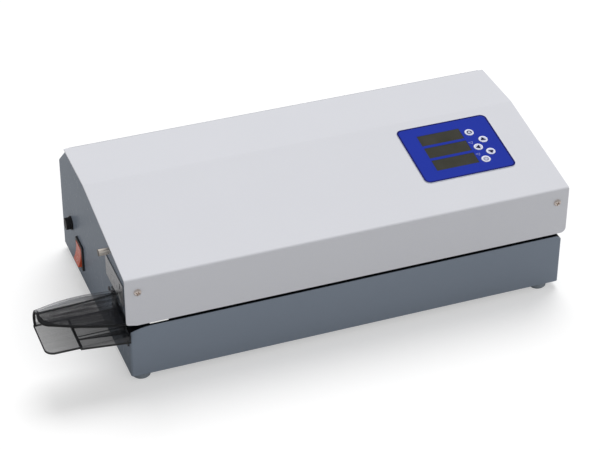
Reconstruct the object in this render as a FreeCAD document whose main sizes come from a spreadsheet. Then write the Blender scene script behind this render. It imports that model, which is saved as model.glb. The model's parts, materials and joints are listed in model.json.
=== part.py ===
import FreeCAD, Part
import Sketcher
import math
import os
from FreeCAD import Placement, Rotation, Vector

# Rotary heat sealer for pouches, in millimetres.
# Row frame: +X along the feed, from the infeed guide to the outfeed end, +Y to the rear, +Z up.
# The origin is the middle of the bounding box, at bench level.

doc = FreeCAD.newDocument("HeatSealer")
sheet = doc.addObject("Spreadsheet::Sheet", "Sizes")


class Size:
    """A length or an angle that carries its value and the sheet formula behind it."""

    def __init__(self, value, text):
        self.value = float(value)
        self.text = text

    def __add__(self, other):
        other = as_size(other)
        return Size(self.value + other.value, f"({self.text} + {other.text})")

    def __radd__(self, other):
        return as_size(other) + self

    def __sub__(self, other):
        other = as_size(other)
        return Size(self.value - other.value, f"({self.text} - {other.text})")

    def __rsub__(self, other):
        return as_size(other) - self

    def __mul__(self, other):
        other = as_size(other)
        return Size(self.value * other.value, f"({self.text} * {other.text})")

    def __rmul__(self, other):
        return as_size(other) * self

    def __truediv__(self, other):
        other = as_size(other)
        return Size(self.value / other.value, f"({self.text} / {other.text})")

    def __neg__(self):
        return Size(-self.value, f"(-1 * {self.text})")


def as_size(item):
    """Numbers become sizes, and sizes stay as they are."""
    return item if isinstance(item, Size) else Size(item, repr(float(item)))


def sine(angle):
    return Size(math.sin(math.radians(angle.value)), f"sin({angle.text} * 1 deg)")


def cosine(angle):
    return Size(math.cos(math.radians(angle.value)), f"cos({angle.text} * 1 deg)")


def tangent(angle):
    return Size(math.tan(math.radians(angle.value)), f"tan({angle.text} * 1 deg)")


def angle_of(rise, run):
    """The slope's angle in degrees, as a plain number."""
    value = math.degrees(math.atan2(rise.value, run.value))
    return Size(value, f"(atan({rise.text} / {run.text}) / 1 deg)")


def root(size):
    return Size(math.sqrt(size.value), f"sqrt({size.text})")


class Names:
    """The sheet's cells, each by its own name."""


S = Names()
cells_used = 0


def write_cell(name, text):
    """Writes one named cell of the sheet."""
    global cells_used
    cells_used = cells_used + 1
    sheet.set(f"A{cells_used}", name)
    sheet.set(f"B{cells_used}", text)
    sheet.setAlias(f"B{cells_used}", name)


def given(name, number):
    """A driving size, set by itself."""
    write_cell(name, repr(float(number)))
    setattr(S, name, Size(number, f"Sizes.{name}"))


def worked(name, size):
    """A size worked out from others, kept in the sheet as a formula."""
    write_cell(name, "=" + size.text.replace("Sizes.", ""))
    setattr(S, name, Size(size.value, f"Sizes.{name}"))


SIZES = {
    # Housing and cover
    "cover_length": 500.0,
    "side_inset": 3.2,
    "sheet_wall": 1.5,
    "seat_gap": 0.1,
    "seam_gap": 0.4,
    "body_depth": 267.5,
    "front_inset": 0.5,
    "deck_height": 61.1,
    "deck_depth": 26.0,
    "slot_height": 4.2,
    "slot_depth": 50.0,
    "infeed_slot_top": 67.5,
    "top_height": 148.6,
    "slope_rise": 25.4,
    "bend_depth": 148.5,
    "flat_depth": 225.0,
    "rear_height": 110.7,
    "end_radius": 8.0,
    "lead_in_start": 225.0,
    "lead_in_radius": 52.0,
    "wall_radius": 3.0,
    "cover_corner": 6.0,
    "infeed_corner": 3.0,
    "infeed_rise": 2.6,
    "infeed_rise_length": 11.5,
    "fold_radius": 3.0,
    "bend_radius": 14.0,
    "ledge_depth": 20.0,
    "end_flange": 18.0,
    "cover_return": 24.0,
    "return_gap": 0.8,
    # Feet
    "foot_height": 8.0,
    "foot_radius": 10.0,
    "foot_base_radius": 8.8,
    "foot_infeed_side": 16.5,
    "foot_outfeed_side": 23.0,
    "foot_front": 12.5,
    "foot_rear": 20.0,
    "foot_recess_radius": 4.4,
    "foot_recess_depth": 4.0,
    # Screws
    "screw_head_radius": 4.0,
    "screw_head_height": 2.4,
    "screw_radius": 2.0,
    "screw_hole_gap": 0.2,
    "screw_length": 9.0,
    "cover_screw_side": 13.4,
    "cover_screw_drop": 16.4,
    "small_screw_radius": 1.5,
    "small_head_radius": 2.6,
    "small_head_height": 1.6,
    # Infeed guide
    "guide_reach": 86.0,
    "guide_forward": 4.6,
    "guide_back": 48.4,
    "guide_wall": 2.0,
    "tray_height": 57.0,
    "tray_corner": 10.0,
    "tray_box_start": 50.0,
    "tray_box_depth": 7.4,
    "tray_box_lift": 3.6,
    "tray_box_width": 40.0,
    "tray_rib": 17.0,
    "tab_front": 4.0,
    "tab_back": 60.0,
    "tab_bottom": 38.0,
    "tab_top": 78.0,
    "crown_start": 84.5,
    "crown_top": 91.0,
    "crown_end": 88.0,
    "crown_length": 48.0,
    "crown_depth": 35.0,
    "lip_height": 68.7,
    "lip_start_depth": 18.5,
    "lip_corner": 13.0,
    "guide_seat": 1.6,
    # Adjuster plate and thumb-screw
    "plate_front": 16.0,
    "plate_length": 63.0,
    "plate_bottom": 80.5,
    "plate_width": 25.0,
    "plate_thickness": 1.2,
    "plate_slot_depth": 26.5,
    "plate_slot_height": 98.0,
    "plate_slot_length": 8.4,
    "plate_slot_width": 3.0,
    "thumb_depth": 62.0,
    "thumb_drop": 28.3,
    "thumb_radius": 3.6,
    "thumb_length": 12.8,
    "thumb_collar_radius": 3.0,
    "thumb_collar": 1.2,
    "thumb_stud_radius": 2.0,
    "thumb_stud_length": 14.0,
    "knurl_count": 20.0,
    "knurl_depth": 0.35,
    "knurl_width": 0.6,
    "nut_width": 7.0,
    "nut_height": 3.2,
    # Rocker switch
    "switch_depth": 191.5,
    "switch_height": 31.5,
    "switch_width": 27.4,
    "switch_tall": 31.6,
    "switch_rim": 2.2,
    "switch_rim_radius": 2.0,
    "switch_body_width": 24.0,
    "switch_body_tall": 28.0,
    "switch_body_depth": 22.0,
    "switch_cavity": 9.0,
    "rocker_width": 19.6,
    "rocker_tall": 24.4,
    "rocker_gap": 0.5,
    "rocker_rise": 4.6,
    "rocker_depth": 6.0,
    "rocker_tilt": 9.0,
    # Fuse holder
    "fuse_depth": 226.0,
    "fuse_height": 50.5,
    "fuse_rim_radius": 7.9,
    "fuse_rim": 2.0,
    "fuse_cap_radius": 7.0,
    "fuse_cap_length": 8.2,
    "fuse_cap_stem_radius": 4.4,
    "fuse_cap_stem": 12.0,
    "fuse_body_radius": 6.1,
    "fuse_body_length": 26.0,
    "running_gap": 0.05,
    # Mains inlet
    "inlet_side": 178.0,
    "inlet_height": 40.0,
    "inlet_flange": 2.0,
    "inlet_flange_width": 50.0,
    "inlet_flange_tall": 24.0,
    "inlet_body_width": 28.0,
    "inlet_body_tall": 20.6,
    "inlet_body_depth": 24.0,
    "inlet_cavity_width": 24.4,
    "inlet_cavity_tall": 16.6,
    "inlet_cavity_depth": 17.0,
    "inlet_screw_side": 20.0,
    "pin_width": 2.0,
    "pin_tall": 4.0,
    "pin_length": 14.0,
    "pin_side": 7.0,
    "earth_lift": 4.0,
    "pin_drop": 2.0,
    # Control panel
    "panel_side": 156.3,
    "panel_reach": 93.3,
    "panel_width": 108.3,
    "panel_tall": 89.6,
    "panel_thickness": 0.8,
    "panel_corner": 7.0,
    "display_shift": -9.2,
    "display_lift": 0.4,
    "display_width": 50.4,
    "display_tall": 17.0,
    "display_pitch": 20.7,
    "window_gap": 0.2,
    "window_drop": 0.1,
    "key_radius": 5.1,
    "key_gap": 0.3,
    "key_rise": 0.5,
    "key_disc": 0.9,
    "key_stem_radius": 3.5,
    "key_stem": 5.0,
    "key_shift": 25.0,
    "key_pitch": 10.35,
    "key_lift": -25.7,
    "key_top_gap": 4.4,
    "key_travel": 0.4,
    "cutout_margin": 1.0,
    "board_drop": 11.0,
    "board_thickness": 1.6,
    "board_width": 96.0,
    "board_tall": 78.0,
    "module_height": 7.5,
    "spacer_radius": 2.6,
    "spacer_side": 43.0,
    "spacer_reach": 35.0,
    "switch_base": 3.5,
    "switch_side": 6.0,
    "plunger_radius": 1.7,
    "plunger_gap": 0.15,
    # Belts, pulleys and gears
    "belt_front": 30.0,
    "belt_width": 14.0,
    "belt_thickness": 1.0,
    "belt_gap": 0.6,
    "pulley_width": 16.0,
    "pulley_crown": 0.25,
    "pulley_side": 205.0,
    "shaft_radius": 4.0,
    "shaft_front": 27.0,
    "shaft_back": 88.0,
    "gear_module": 1.0,
    "gear_teeth": 33.0,
    "pinion_teeth": 22.0,
    "gear_front": 70.0,
    "gear_width": 8.0,
    "gear_backlash": 0.16,
    "pressure_angle": 20.0,
    "bush_radius": 6.0,
    "bush_flange_radius": 8.0,
    "bush_flange": 1.5,
    "clip_radius": 6.0,
    "clip_thickness": 1.0,
    # Chassis plate
    "chassis_front": 62.0,
    "chassis_thickness": 3.0,
    "chassis_top": 112.0,
    "chassis_foot": 20.0,
    "chassis_gap": 0.3,
    "tie_screw_back": 7.4,
    "tie_screw_height": 64.8,
    "tie_flange_depth": 16.0,
    "tie_flange_height": 26.0,
    "foot_screw_spread": 120.0,
    # Heater bars
    "heater_start": -140.0,
    "heater_length": 120.0,
    "heater_width": 11.0,
    "heater_height": 10.0,
    "heater_inset": 25.0,
    "heater_post_width": 12.0,
    "heater_post_height": 7.0,
    "cartridge_radius": 3.0,
    "cartridge_out": 6.0,
    "carrier_front": 48.0,
    "carrier_thickness": 4.0,
    "carrier_top": 86.0,
    "guide_rod_radius": 2.5,
    "guide_rod_depth": 56.0,
    "lug_height": 5.0,
    "rod_bracket_height": 102.0,
    "spring_radius": 4.4,
    "spring_wire": 0.6,
    "spring_turns": 5.0,
    "spring_clear": 0.3,
    # Pressure rollers
    "roller_side": 70.0,
    "roller_radius": 11.0,
    "roller_core_radius": 8.0,
    "roller_pin_radius": 3.0,
    "arm_pivot_side": 118.0,
    "arm_pivot_height": 82.0,
    "arm_front": 48.0,
    "arm_thickness": 5.0,
    "arm_radius": 7.0,
    "arm_tail": 24.0,
    "arm_spring_height": 103.0,
    # Motor
    "motor_radius": 18.5,
    "motor_length": 62.0,
    "motor_plate_front": 82.5,
    "motor_plate": 3.0,
    "motor_plate_margin": 26.0,
    "motor_plate_rise": 20.0,
    "motor_shaft_radius": 3.0,
    "motor_boss_radius": 6.0,
    "motor_boss": 4.0,
    "gear_box_length": 22.0,
    "pillar_radius": 4.0,
    "pillar_inset": 6.5,
    # Power supply
    "supply_side": -110.0,
    "supply_depth": 190.0,
    "supply_width": 120.0,
    "supply_length": 90.0,
    "supply_lift": 8.0,
    "supply_core_width": 46.0,
    "supply_core_length": 40.0,
    "supply_core_height": 38.0,
    "supply_can_radius": 9.0,
    "supply_can_height": 30.0,
    # Small parts in the slot
    "glide_start": 225.0,
    "glide_length": 20.0,
    "glide_depth": 6.0,
    "glide_radius": 0.8,
    "glide_inset": 0.1,
    "sensor_side": 229.0,
    "sensor_width": 8.0,
    "sensor_front": 51.0,
    "sensor_height": 22.0,
}
for size_name, size_number in SIZES.items():
    given(size_name, size_number)

# Placed from the sizes above
worked("mid_x", S.guide_reach / 2)
worked("front_y", (S.guide_forward - S.body_depth - S.inlet_flange) / 2)
worked("wall_half", S.cover_length / 2 - S.side_inset)
worked("fold_height", S.top_height - S.slope_rise)
worked("slope_angle", angle_of(S.slope_rise, S.bend_depth))
worked("cover_screw_height", S.fold_height - S.cover_screw_drop)
worked("thumb_height", S.top_height - S.thumb_drop)
worked("rear_angle", angle_of(S.top_height - S.rear_height, S.body_depth - S.flat_depth))
worked("slot_top", S.deck_height + S.slot_height)
worked("cover_seat", S.sheet_wall + S.seat_gap)
worked("pouch_height", S.deck_height + S.slot_height / 2)
worked("display_side", S.panel_side + S.display_shift)
worked("display_reach", S.panel_reach + S.display_lift)
worked("key_column", S.panel_side + S.key_shift)
worked("key_row", S.panel_reach + S.key_lift)
worked("gear_distance", S.gear_module * S.gear_teeth)
worked("pulley_radius", (S.gear_distance - S.belt_gap - 2 * S.belt_thickness) / 2)
worked("lower_shaft", S.pouch_height - S.gear_distance / 2)
worked("upper_shaft", S.pouch_height + S.gear_distance / 2)
worked("belt_inside", S.pulley_radius + S.running_gap)
worked("pinion_side", S.pulley_side - S.gear_module * (S.gear_teeth + S.pinion_teeth) / 2)
worked("chassis_back", S.chassis_front + S.chassis_thickness)
worked("lower_inside", S.pouch_height - S.belt_gap / 2 - S.belt_thickness)
worked("upper_inside", S.pouch_height + S.belt_gap / 2 + S.belt_thickness)


def along(value):
    """X of a place measured from the middle of the housing."""
    return S.mid_x + value


def back(value):
    """Y of a place measured from the cover's front face."""
    return S.front_y + value


def up(value):
    """Z of a place measured from the underside of the housing."""
    return S.foot_height + value


# Ways to build

NODES = {}
PLANES = {"XY": "XY_Plane", "XZ": "XZ_Plane", "YZ": "YZ_Plane"}
TURNS = {"X": Rotation(Vector(0, 1, 0), 90), "Y": Rotation(Vector(1, 0, 0), -90), "Z": Rotation()}


def node(label, thing):
    """Names a finished sub-part."""
    thing.Label = label
    NODES[label] = thing
    return thing


def bind(thing, path, size):
    thing.setExpression(path, as_size(size).text)


def start_body(label):
    return node(label, doc.addObject("PartDesign::Body", "Body"))


def place(thing, x, y, z):
    """Puts a sub-part's own origin at a place in the row frame."""
    bind(thing, "Placement.Base.x", x)
    bind(thing, "Placement.Base.y", y)
    bind(thing, "Placement.Base.z", z)
    return thing


def hold(sketch, geometry, point, u, v):
    """Holds one point of a sketch at its distances from the sketch's axes."""
    for kind, size in (("DistanceX", u), ("DistanceY", v)):
        size = as_size(size)
        index = sketch.addConstraint(
            Sketcher.Constraint(kind, -1, 1, geometry, point, size.value))
        bind(sketch, f"Constraints[{index}]", size)


def outline(*corners):
    """A closed outline of straight sides."""
    corners = [(as_size(u), as_size(v)) for u, v in corners]

    def draw(sketch):
        first = sketch.GeometryCount
        count = len(corners)
        for i in range(count):
            start = Vector(corners[i][0].value, corners[i][1].value, 0)
            following = corners[(i + 1) % count]
            end = Vector(following[0].value, following[1].value, 0)
            sketch.addGeometry(Part.LineSegment(start, end), False)
        for i in range(count):
            sketch.addConstraint(
                Sketcher.Constraint("Coincident", first + i, 2, first + (i + 1) % count, 1))
        for i in range(count):
            hold(sketch, first + i, 1, *corners[i])
    return draw


def rectangle(u0, u1, v0, v1):
    return outline((u0, v0), (u1, v0), (u1, v1), (u0, v1))


def rectangle_about(u, v, width, tall):
    return rectangle(u - width / 2, u + width / 2, v - tall / 2, v + tall / 2)


def circle(u, v, radius):
    """A circle about a held centre."""
    u, v, radius = as_size(u), as_size(v), as_size(radius)

    def draw(sketch):
        round_line = Part.Circle(Vector(u.value, v.value, 0), Vector(0, 0, 1), radius.value)
        index = sketch.addGeometry(round_line, False)
        held = sketch.addConstraint(Sketcher.Constraint("Radius", index, radius.value))
        bind(sketch, f"Constraints[{held}]", radius)
        hold(sketch, index, 3, u, v)
    return draw


def scooped(centre, radius, start, start_held, finish, finish_held, *corners):
    """A closed outline through some corners, closed by an arc from its finish to its start.

    The arc's two ends lie on the circle, so only one coordinate of each is held.
    """
    ends = [start, *corners, finish]

    def draw(sketch):
        points = [Vector(u.value, v.value, 0) for u, v in ends]
        first = sketch.GeometryCount
        for a, b in zip(points, points[1:]):
            sketch.addGeometry(Part.LineSegment(a, b), False)
        middle = Vector(centre[0].value, centre[1].value, 0)
        halfway = ((points[0] - middle) + (points[-1] - middle)).normalize()
        arc = Part.Arc(points[0], middle + halfway * radius.value, points[-1])
        turned = (points[0] - middle).cross(points[-1] - middle).z < 0
        index = sketch.addGeometry(arc, False)
        at_start, at_finish = (2, 1) if turned else (1, 2)
        count = len(points) - 1
        for i in range(count - 1):
            sketch.addConstraint(Sketcher.Constraint("Coincident", first + i, 2, first + i + 1, 1))
            hold(sketch, first + i, 2, *corners[i])
        sketch.addConstraint(Sketcher.Constraint("Coincident", first, 1, index, at_start))
        sketch.addConstraint(
            Sketcher.Constraint("Coincident", first + count - 1, 2, index, at_finish))
        hold(sketch, index, 3, *centre)
        held = sketch.addConstraint(Sketcher.Constraint("Radius", index, radius.value))
        bind(sketch, f"Constraints[{held}]", radius)
        for point, side, place in ((at_start, start_held, start), (at_finish, finish_held, finish)):
            kind, size = ("DistanceX", place[0]) if side == "u" else ("DistanceY", place[1])
            held = sketch.addConstraint(Sketcher.Constraint(kind, -1, 1, index, point, size.value))
            bind(sketch, f"Constraints[{held}]", size)
    return draw


def sketch_on(body, plane, height, shapes):
    """A sketch parallel to one of the body's own origin planes."""
    role = PLANES[plane]
    support = [item for item in body.Origin.OriginFeatures if item.Role == role][0]
    sketch = body.newObject("Sketcher::SketchObject", "Sketch")
    sketch.AttachmentSupport = [(support, "")]
    sketch.MapMode = "FlatFace"
    height = as_size(height)
    bind(sketch, "AttachmentOffset.Base.z", -height if plane == "XZ" else height)
    for draw in shapes:
        draw(sketch)
    return sketch


def add(body, plane, start, end, *shapes):
    """Material between two heights above a plane."""
    sketch = sketch_on(body, plane, start, shapes)
    pad = body.newObject("PartDesign::Pad", "Pad")
    pad.Profile = sketch
    bind(pad, "Length", as_size(end) - start)
    pad.Reversed = plane == "XZ"
    return pad


def cut(body, plane, start, end, *shapes):
    """A cut between two heights above a plane."""
    sketch = sketch_on(body, plane, start, shapes)
    pocket = body.newObject("PartDesign::Pocket", "Pocket")
    pocket.Profile = sketch
    bind(pocket, "Length", as_size(end) - start)
    pocket.Reversed = plane != "XZ"
    return pocket


def turn(body, plane, axis, *shapes):
    """A turned body about one of the sketch's axes."""
    sketch = sketch_on(body, plane, 0, shapes)
    revolution = body.newObject("PartDesign::Revolution", "Revolution")
    revolution.Profile = sketch
    revolution.ReferenceAxis = (sketch, [axis])
    revolution.Angle = 360
    return revolution


def round_edges(body, radius, wanted):
    """Rounds the edges of the body's last feature that the test picks."""
    doc.recompute()
    last = body.Tip
    names = []
    for number, edge in enumerate(last.Shape.Edges):
        middle = edge.valueAt((edge.FirstParameter + edge.LastParameter) / 2)
        start = edge.valueAt(edge.FirstParameter)
        end = edge.valueAt(edge.LastParameter)
        if wanted(middle, end - start):
            names.append(f"Edge{number + 1}")
    fillet = body.newObject("PartDesign::Fillet", "Fillet")
    fillet.Base = (last, names)
    bind(fillet, "Radius", radius)
    return fillet


def near(number, size):
    return abs(number - as_size(size).value) < 0.01


def runs(direction, axis):
    """True where an edge runs along one axis only."""
    parts = [abs(direction.x), abs(direction.y), abs(direction.z)]
    return parts["XYZ".index(axis)] > 0.01 and sum(parts) - parts["XYZ".index(axis)] < 0.001


def block(x0, x1, y0, y1, z0, z1):
    """A box between its six faces."""
    box = doc.addObject("Part::Box", "Box")
    bind(box, "Length", as_size(x1) - x0)
    bind(box, "Width", as_size(y1) - y0)
    bind(box, "Height", as_size(z1) - z0)
    return place(box, x0, y0, z0)


def rod(axis, x, y, z, length, radius):
    """A cylinder that starts at a place and runs up one axis."""
    cylinder = doc.addObject("Part::Cylinder", "Cylinder")
    bind(cylinder, "Height", length)
    bind(cylinder, "Radius", radius)
    cylinder.Placement = Placement(Vector(), TURNS[axis])
    return place(cylinder, x, y, z)


def joined(*things):
    fusion = doc.addObject("Part::MultiFuse", "Fusion")
    fusion.Shapes = list(things)
    return fusion


def without(base, *tools):
    """The base with the tools cut away."""
    difference = doc.addObject("Part::Cut", "Cut")
    difference.Base = base
    difference.Tool = tools[0] if len(tools) == 1 else joined(*tools)
    return difference


def group(*things):
    """Separate solids that share one sub-part."""
    compound = doc.addObject("Part::Compound", "Compound")
    compound.Links = list(things)
    return compound


def shaped(label, shape):
    """A sub-part whose shape is worked out below."""
    feature = doc.addObject("Part::Feature", "Shape")
    feature.Shape = shape
    return node(label, feature)


def tilt(thing):
    """Lays a flat sub-part on the cover's sloped face."""
    thing.Placement = Placement(Vector(), Rotation(Vector(1, 0, 0), S.slope_angle.value))
    bind(thing, "Placement.Rotation.Angle", S.slope_angle)
    return place(thing, along(0), back(0), up(S.fold_height))


def cover_fold(offset):
    """Height of the fold between front and slope, that far inside the cover."""
    return S.fold_height + offset * tangent(S.slope_angle) - offset / cosine(S.slope_angle)


def cover_bend(offset):
    """Depth of the bend between slope and top, that far inside the cover."""
    return S.bend_depth + offset * tangent(S.slope_angle / 2)


def ends(side):
    """The two ends of the housing, as X places."""
    return (along(-side), along(side))


def foot_places():
    half = S.cover_length / 2
    sides = (S.foot_infeed_side - half, half - S.foot_outfeed_side)
    rear = S.body_depth - S.foot_rear
    return [(along(x), back(y)) for y in (S.foot_front, rear) for x in sides]


def base_housing():
    """Welded sheet tray with both side walls, the rear wall and its sloped top."""
    body = start_body("base_housing")
    seat = S.cover_seat
    chamfer_top = S.flat_depth + S.seam_gap
    add(body, "YZ", along(-S.wall_half), along(S.wall_half), outline(
        (back(S.front_inset), up(0)),
        (back(S.body_depth), up(0)),
        (back(S.body_depth), up(S.rear_height)),
        (back(chamfer_top), up(S.top_height)),
        (back(S.bend_depth), up(S.top_height)),
        (back(S.front_inset), up(S.fold_height))))
    outer = [place_x.value for place_x in ends(S.wall_half)]

    def bent(point, direction):
        at_end = min(abs(point.x - place_x) for place_x in outer) < 0.01
        slanted = near(point.y, back((S.body_depth + chamfer_top) / 2))
        shoulder = runs(direction, "X") and near(point.z, up(S.rear_height))
        return (at_end and (runs(direction, "Z") or slanted)
                and not runs(direction, "Y")) or shoulder
    round_edges(body, S.wall_radius, bent)

    wall = S.sheet_wall
    half = S.wall_half
    inner = half - wall
    deck = S.deck_height
    over = 2 * wall
    open_top = S.top_height + over
    cut(body, "YZ", along(-half - over), along(half + over), outline(
        (back(chamfer_top), up(open_top)),
        (back(chamfer_top), up(S.top_height - seat)),
        (back(cover_bend(seat)), up(S.top_height - seat)),
        (back(seat), up(cover_fold(seat))),
        (back(seat), up(deck)),
        (back(-over), up(deck)),
        (back(-over), up(open_top))))
    cut(body, "YZ", along(-half - over), along(half + over),
        rectangle(back(-wall), back(S.slot_depth), up(deck), up(S.slot_top)))
    cut(body, "YZ", along(-half - over), along(-half + over),
        rectangle(back(-wall), back(S.slot_depth), up(deck), up(S.infeed_slot_top)))
    low = deck - S.end_radius
    corner = half - S.end_radius
    cut(body, "XZ", back(-wall), back(S.slot_depth), scooped(
        (along(corner), up(low)), S.end_radius,
        (along(half), up(low)), "v", (along(corner), up(deck)), "u",
        (along(half + over), up(low)), (along(half + over), up(deck + wall)),
        (along(corner), up(deck + wall))))
    reach = half + over - S.lead_in_start
    fall = S.lead_in_radius - root(S.lead_in_radius * S.lead_in_radius - reach * reach)
    cut(body, "XZ", back(-wall), back(S.slot_depth), scooped(
        (along(-S.lead_in_start), up(deck - S.lead_in_radius)), S.lead_in_radius,
        (along(-S.lead_in_start), up(deck)), "u", (along(-half - over), up(deck - fall)), "u",
        (along(-S.lead_in_start), up(deck + wall)), (along(-half - over), up(deck + wall))))

    inner_front = back(S.front_inset + wall)
    inner_rear = back(S.body_depth - wall)
    cut(body, "XZ", inner_front, inner_rear, outline(
        (along(-inner), up(wall)), (along(inner), up(wall)), (along(inner), up(low)),
        (along(corner), up(deck - wall)), (along(-S.lead_in_start), up(deck - wall)),
        (along(-inner), up(deck - fall))))
    ledge = S.top_height - seat - wall
    slant = wall / cosine(S.rear_angle)
    lean = tangent(S.rear_angle)
    inner_shoulder = S.rear_height + wall * lean - slant
    ledge_back = S.body_depth - (ledge - S.rear_height + slant) / lean
    cut(body, "YZ", along(-inner), along(inner), outline(
        (back(S.slot_depth), up(low)),
        (inner_rear, up(low)),
        (inner_rear, up(inner_shoulder)),
        (back(ledge_back), up(ledge)),
        (back(S.flat_depth - S.ledge_depth), up(ledge)),
        (back(S.flat_depth - S.ledge_depth), up(open_top)),
        (back(seat + wall), up(open_top)),
        (back(seat + wall), up(deck)),
        (back(S.slot_depth), up(deck))))
    cut(body, "XY", up(low), up(deck + wall), rectangle(
        along(-S.lead_in_start), along(corner), back(S.deck_depth), back(S.slot_depth + wall)))
    inside = half - S.end_flange
    cut(body, "XZ", back(-wall), back(seat + 2 * wall),
        rectangle(along(-inside), along(inside), up(deck), up(open_top)))

    hole = S.screw_radius + S.screw_hole_gap
    gap = S.window_gap
    small_hole = S.small_screw_radius + gap
    cut(body, "XY", up(-wall), up(2 * wall),
        *[circle(x, y, hole) for x, y in foot_places()],
        *[circle(x, y, small_hole) for x, y in chassis_foot_screws()])
    screw_side = S.cover_length / 2 - S.cover_screw_side
    cut(body, "XZ", back(0), back(seat + 2 * wall),
        *[circle(x, up(S.cover_screw_height), hole) for x in ends(screw_side)])
    cut(body, "YZ", along(-S.wall_half - wall), along(-S.wall_half + 2 * wall),
        rectangle_about(back(S.switch_depth), up(S.switch_height),
                        S.switch_body_width + 2 * gap, S.switch_body_tall + 2 * gap),
        rectangle_about(back(S.plate_slot_depth), up(S.plate_slot_height),
                        S.plate_slot_width + 2 * gap, S.plate_slot_length),
        circle(back(S.fuse_depth), up(S.fuse_height), S.fuse_body_radius + gap),
        circle(back(S.thumb_depth), up(S.thumb_height), S.thumb_stud_radius + gap),
        circle(back(S.chassis_back + S.tie_screw_back), up(S.tie_screw_height), small_hole),
        *[circle(y, z, small_hole) for y, z in tab_screws()])
    cut(body, "XZ", back(S.body_depth - 2 * wall), back(S.body_depth + wall),
        rectangle_about(along(-S.inlet_side), up(S.inlet_height),
                        S.inlet_body_width + 2 * gap, S.inlet_body_tall + 2 * gap),
        *[circle(x, up(S.inlet_height), small_hole) for x in inlet_screws()])


def tab_screws():
    """Places of the screws that hold the infeed guide, as Y and Z."""
    inset = 2 * S.small_head_radius
    rear = back(S.tab_back - inset)
    return [(rear, up(S.tab_bottom + inset)),
            (back(S.tab_front + 2 * inset), up(S.tab_bottom + inset)),
            (rear, up(S.tab_top - inset))]


def inlet_screws():
    return [along(-S.inlet_side + side) for side in (-S.inlet_screw_side, S.inlet_screw_side)]


def top_cover():
    """Bent sheet cover: front face, sloped face and flat top, with a return at its lower edge."""
    body = start_body("top_cover")
    wall = S.sheet_wall
    half = S.cover_length / 2
    add(body, "YZ", along(-half), along(half), outline(
        (back(0), up(S.slot_top)),
        (back(0), up(S.fold_height)),
        (back(S.bend_depth), up(S.top_height)),
        (back(S.flat_depth), up(S.top_height)),
        (back(S.flat_depth), up(S.top_height - wall)),
        (back(cover_bend(wall)), up(S.top_height - wall)),
        (back(wall), up(cover_fold(wall))),
        (back(wall), up(S.slot_top + wall)),
        (back(S.cover_return), up(S.slot_top + wall)),
        (back(S.cover_return), up(S.slot_top))))
    stop = S.wall_half - S.end_flange - S.return_gap
    cut(body, "XY", up(S.slot_top - wall), up(S.slot_top + 2 * wall),
        rectangle(along(-half - wall), along(-stop), back(wall), back(S.cover_return + wall)),
        rectangle(along(stop), along(half + wall), back(wall), back(S.cover_return + wall)))

    def fold(point, direction):
        return runs(direction, "X") and near(point.y, back(0)) and near(point.z, up(S.fold_height))
    round_edges(body, S.fold_radius, fold)

    def bend(point, direction):
        return (runs(direction, "X") and near(point.y, back(S.bend_depth))
                and near(point.z, up(S.top_height)))
    round_edges(body, S.bend_radius, bend)

    cut(body, "XZ", back(-wall), back(2 * wall), outline(
        (along(-half - wall), up(S.slot_top - wall)),
        (along(-half - wall), up(S.slot_top + S.infeed_rise)),
        (along(-half), up(S.slot_top + S.infeed_rise)),
        (along(S.infeed_rise_length - half), up(S.slot_top)),
        (along(S.infeed_rise_length - half), up(S.slot_top - wall))))

    def infeed_corner(point, direction):
        return (near(point.x, along(-half)) and runs(direction, "Y")
                and near(point.z, up(S.slot_top + S.infeed_rise)))
    round_edges(body, S.infeed_corner, infeed_corner)

    def outfeed_corner(point, direction):
        return (near(point.x, along(half)) and runs(direction, "Y")
                and near(point.z, up(S.slot_top)))
    round_edges(body, S.cover_corner, outfeed_corner)

    hole = S.screw_radius + S.screw_hole_gap
    screw_side = half - S.cover_screw_side
    cut(body, "XZ", back(-wall), back(2 * wall),
        *[circle(x, up(S.cover_screw_height), hole) for x in ends(screw_side)])
    margin = S.cutout_margin
    windows = [rectangle_about(S.display_side, reach, S.display_width - margin,
                               S.display_tall - margin) for reach in display_rows()]
    key_holes = [circle(x, reach, S.key_stem_radius + margin) for x, reach in key_places()]
    sketch = sketch_on(body, "XY", 0, windows + key_holes)
    sketch.AttachmentOffset = Placement(
        Vector(), Rotation(Vector(1, 0, 0), S.slope_angle.value))
    bind(sketch, "AttachmentOffset.Rotation.Angle", S.slope_angle)
    bind(sketch, "AttachmentOffset.Base.x", along(0))
    bind(sketch, "AttachmentOffset.Base.y", back(0))
    bind(sketch, "AttachmentOffset.Base.z", up(S.fold_height))
    pocket = body.newObject("PartDesign::Pocket", "Pocket")
    pocket.Profile = sketch
    bind(pocket, "Length", 2 * wall)
    return body


def display_rows():
    """Places of the three displays up the slope."""
    return [S.display_reach + step * S.display_pitch for step in (1, 0, -1)]


def key_places():
    """Places of the five keys on the slope: one column of three, one of two."""
    left = S.key_column
    right = S.key_column + S.key_pitch
    row = S.key_row
    pitch = S.key_pitch
    return [(left, row + 4 * pitch + S.key_top_gap), (right, row + 3 * pitch),
            (left, row + 2 * pitch), (right, row + pitch), (left, row)]


def screw(axis, sign, x, y, z, small=False, length=None):
    """A pan-head screw whose head stands on the face at the given place."""
    head_radius = S.small_head_radius if small else S.screw_head_radius
    head_height = S.small_head_height if small else S.screw_head_height
    radius = S.small_screw_radius if small else S.screw_radius
    length = S.screw_length if length is None else length
    if sign > 0:
        head_shift, shank_shift = as_size(0), -length
    else:
        head_shift, shank_shift = -head_height, as_size(0)
    shifts = {"X": (1, 0, 0), "Y": (0, 1, 0), "Z": (0, 0, 1)}[axis]

    def moved(shift):
        return [as_size(v) + shift * part for v, part in zip((x, y, z), shifts)]
    head = rod(axis, *moved(head_shift), head_height, head_radius)
    shank = rod(axis, *moved(shank_shift), length, radius)
    return joined(head, shank)


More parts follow.
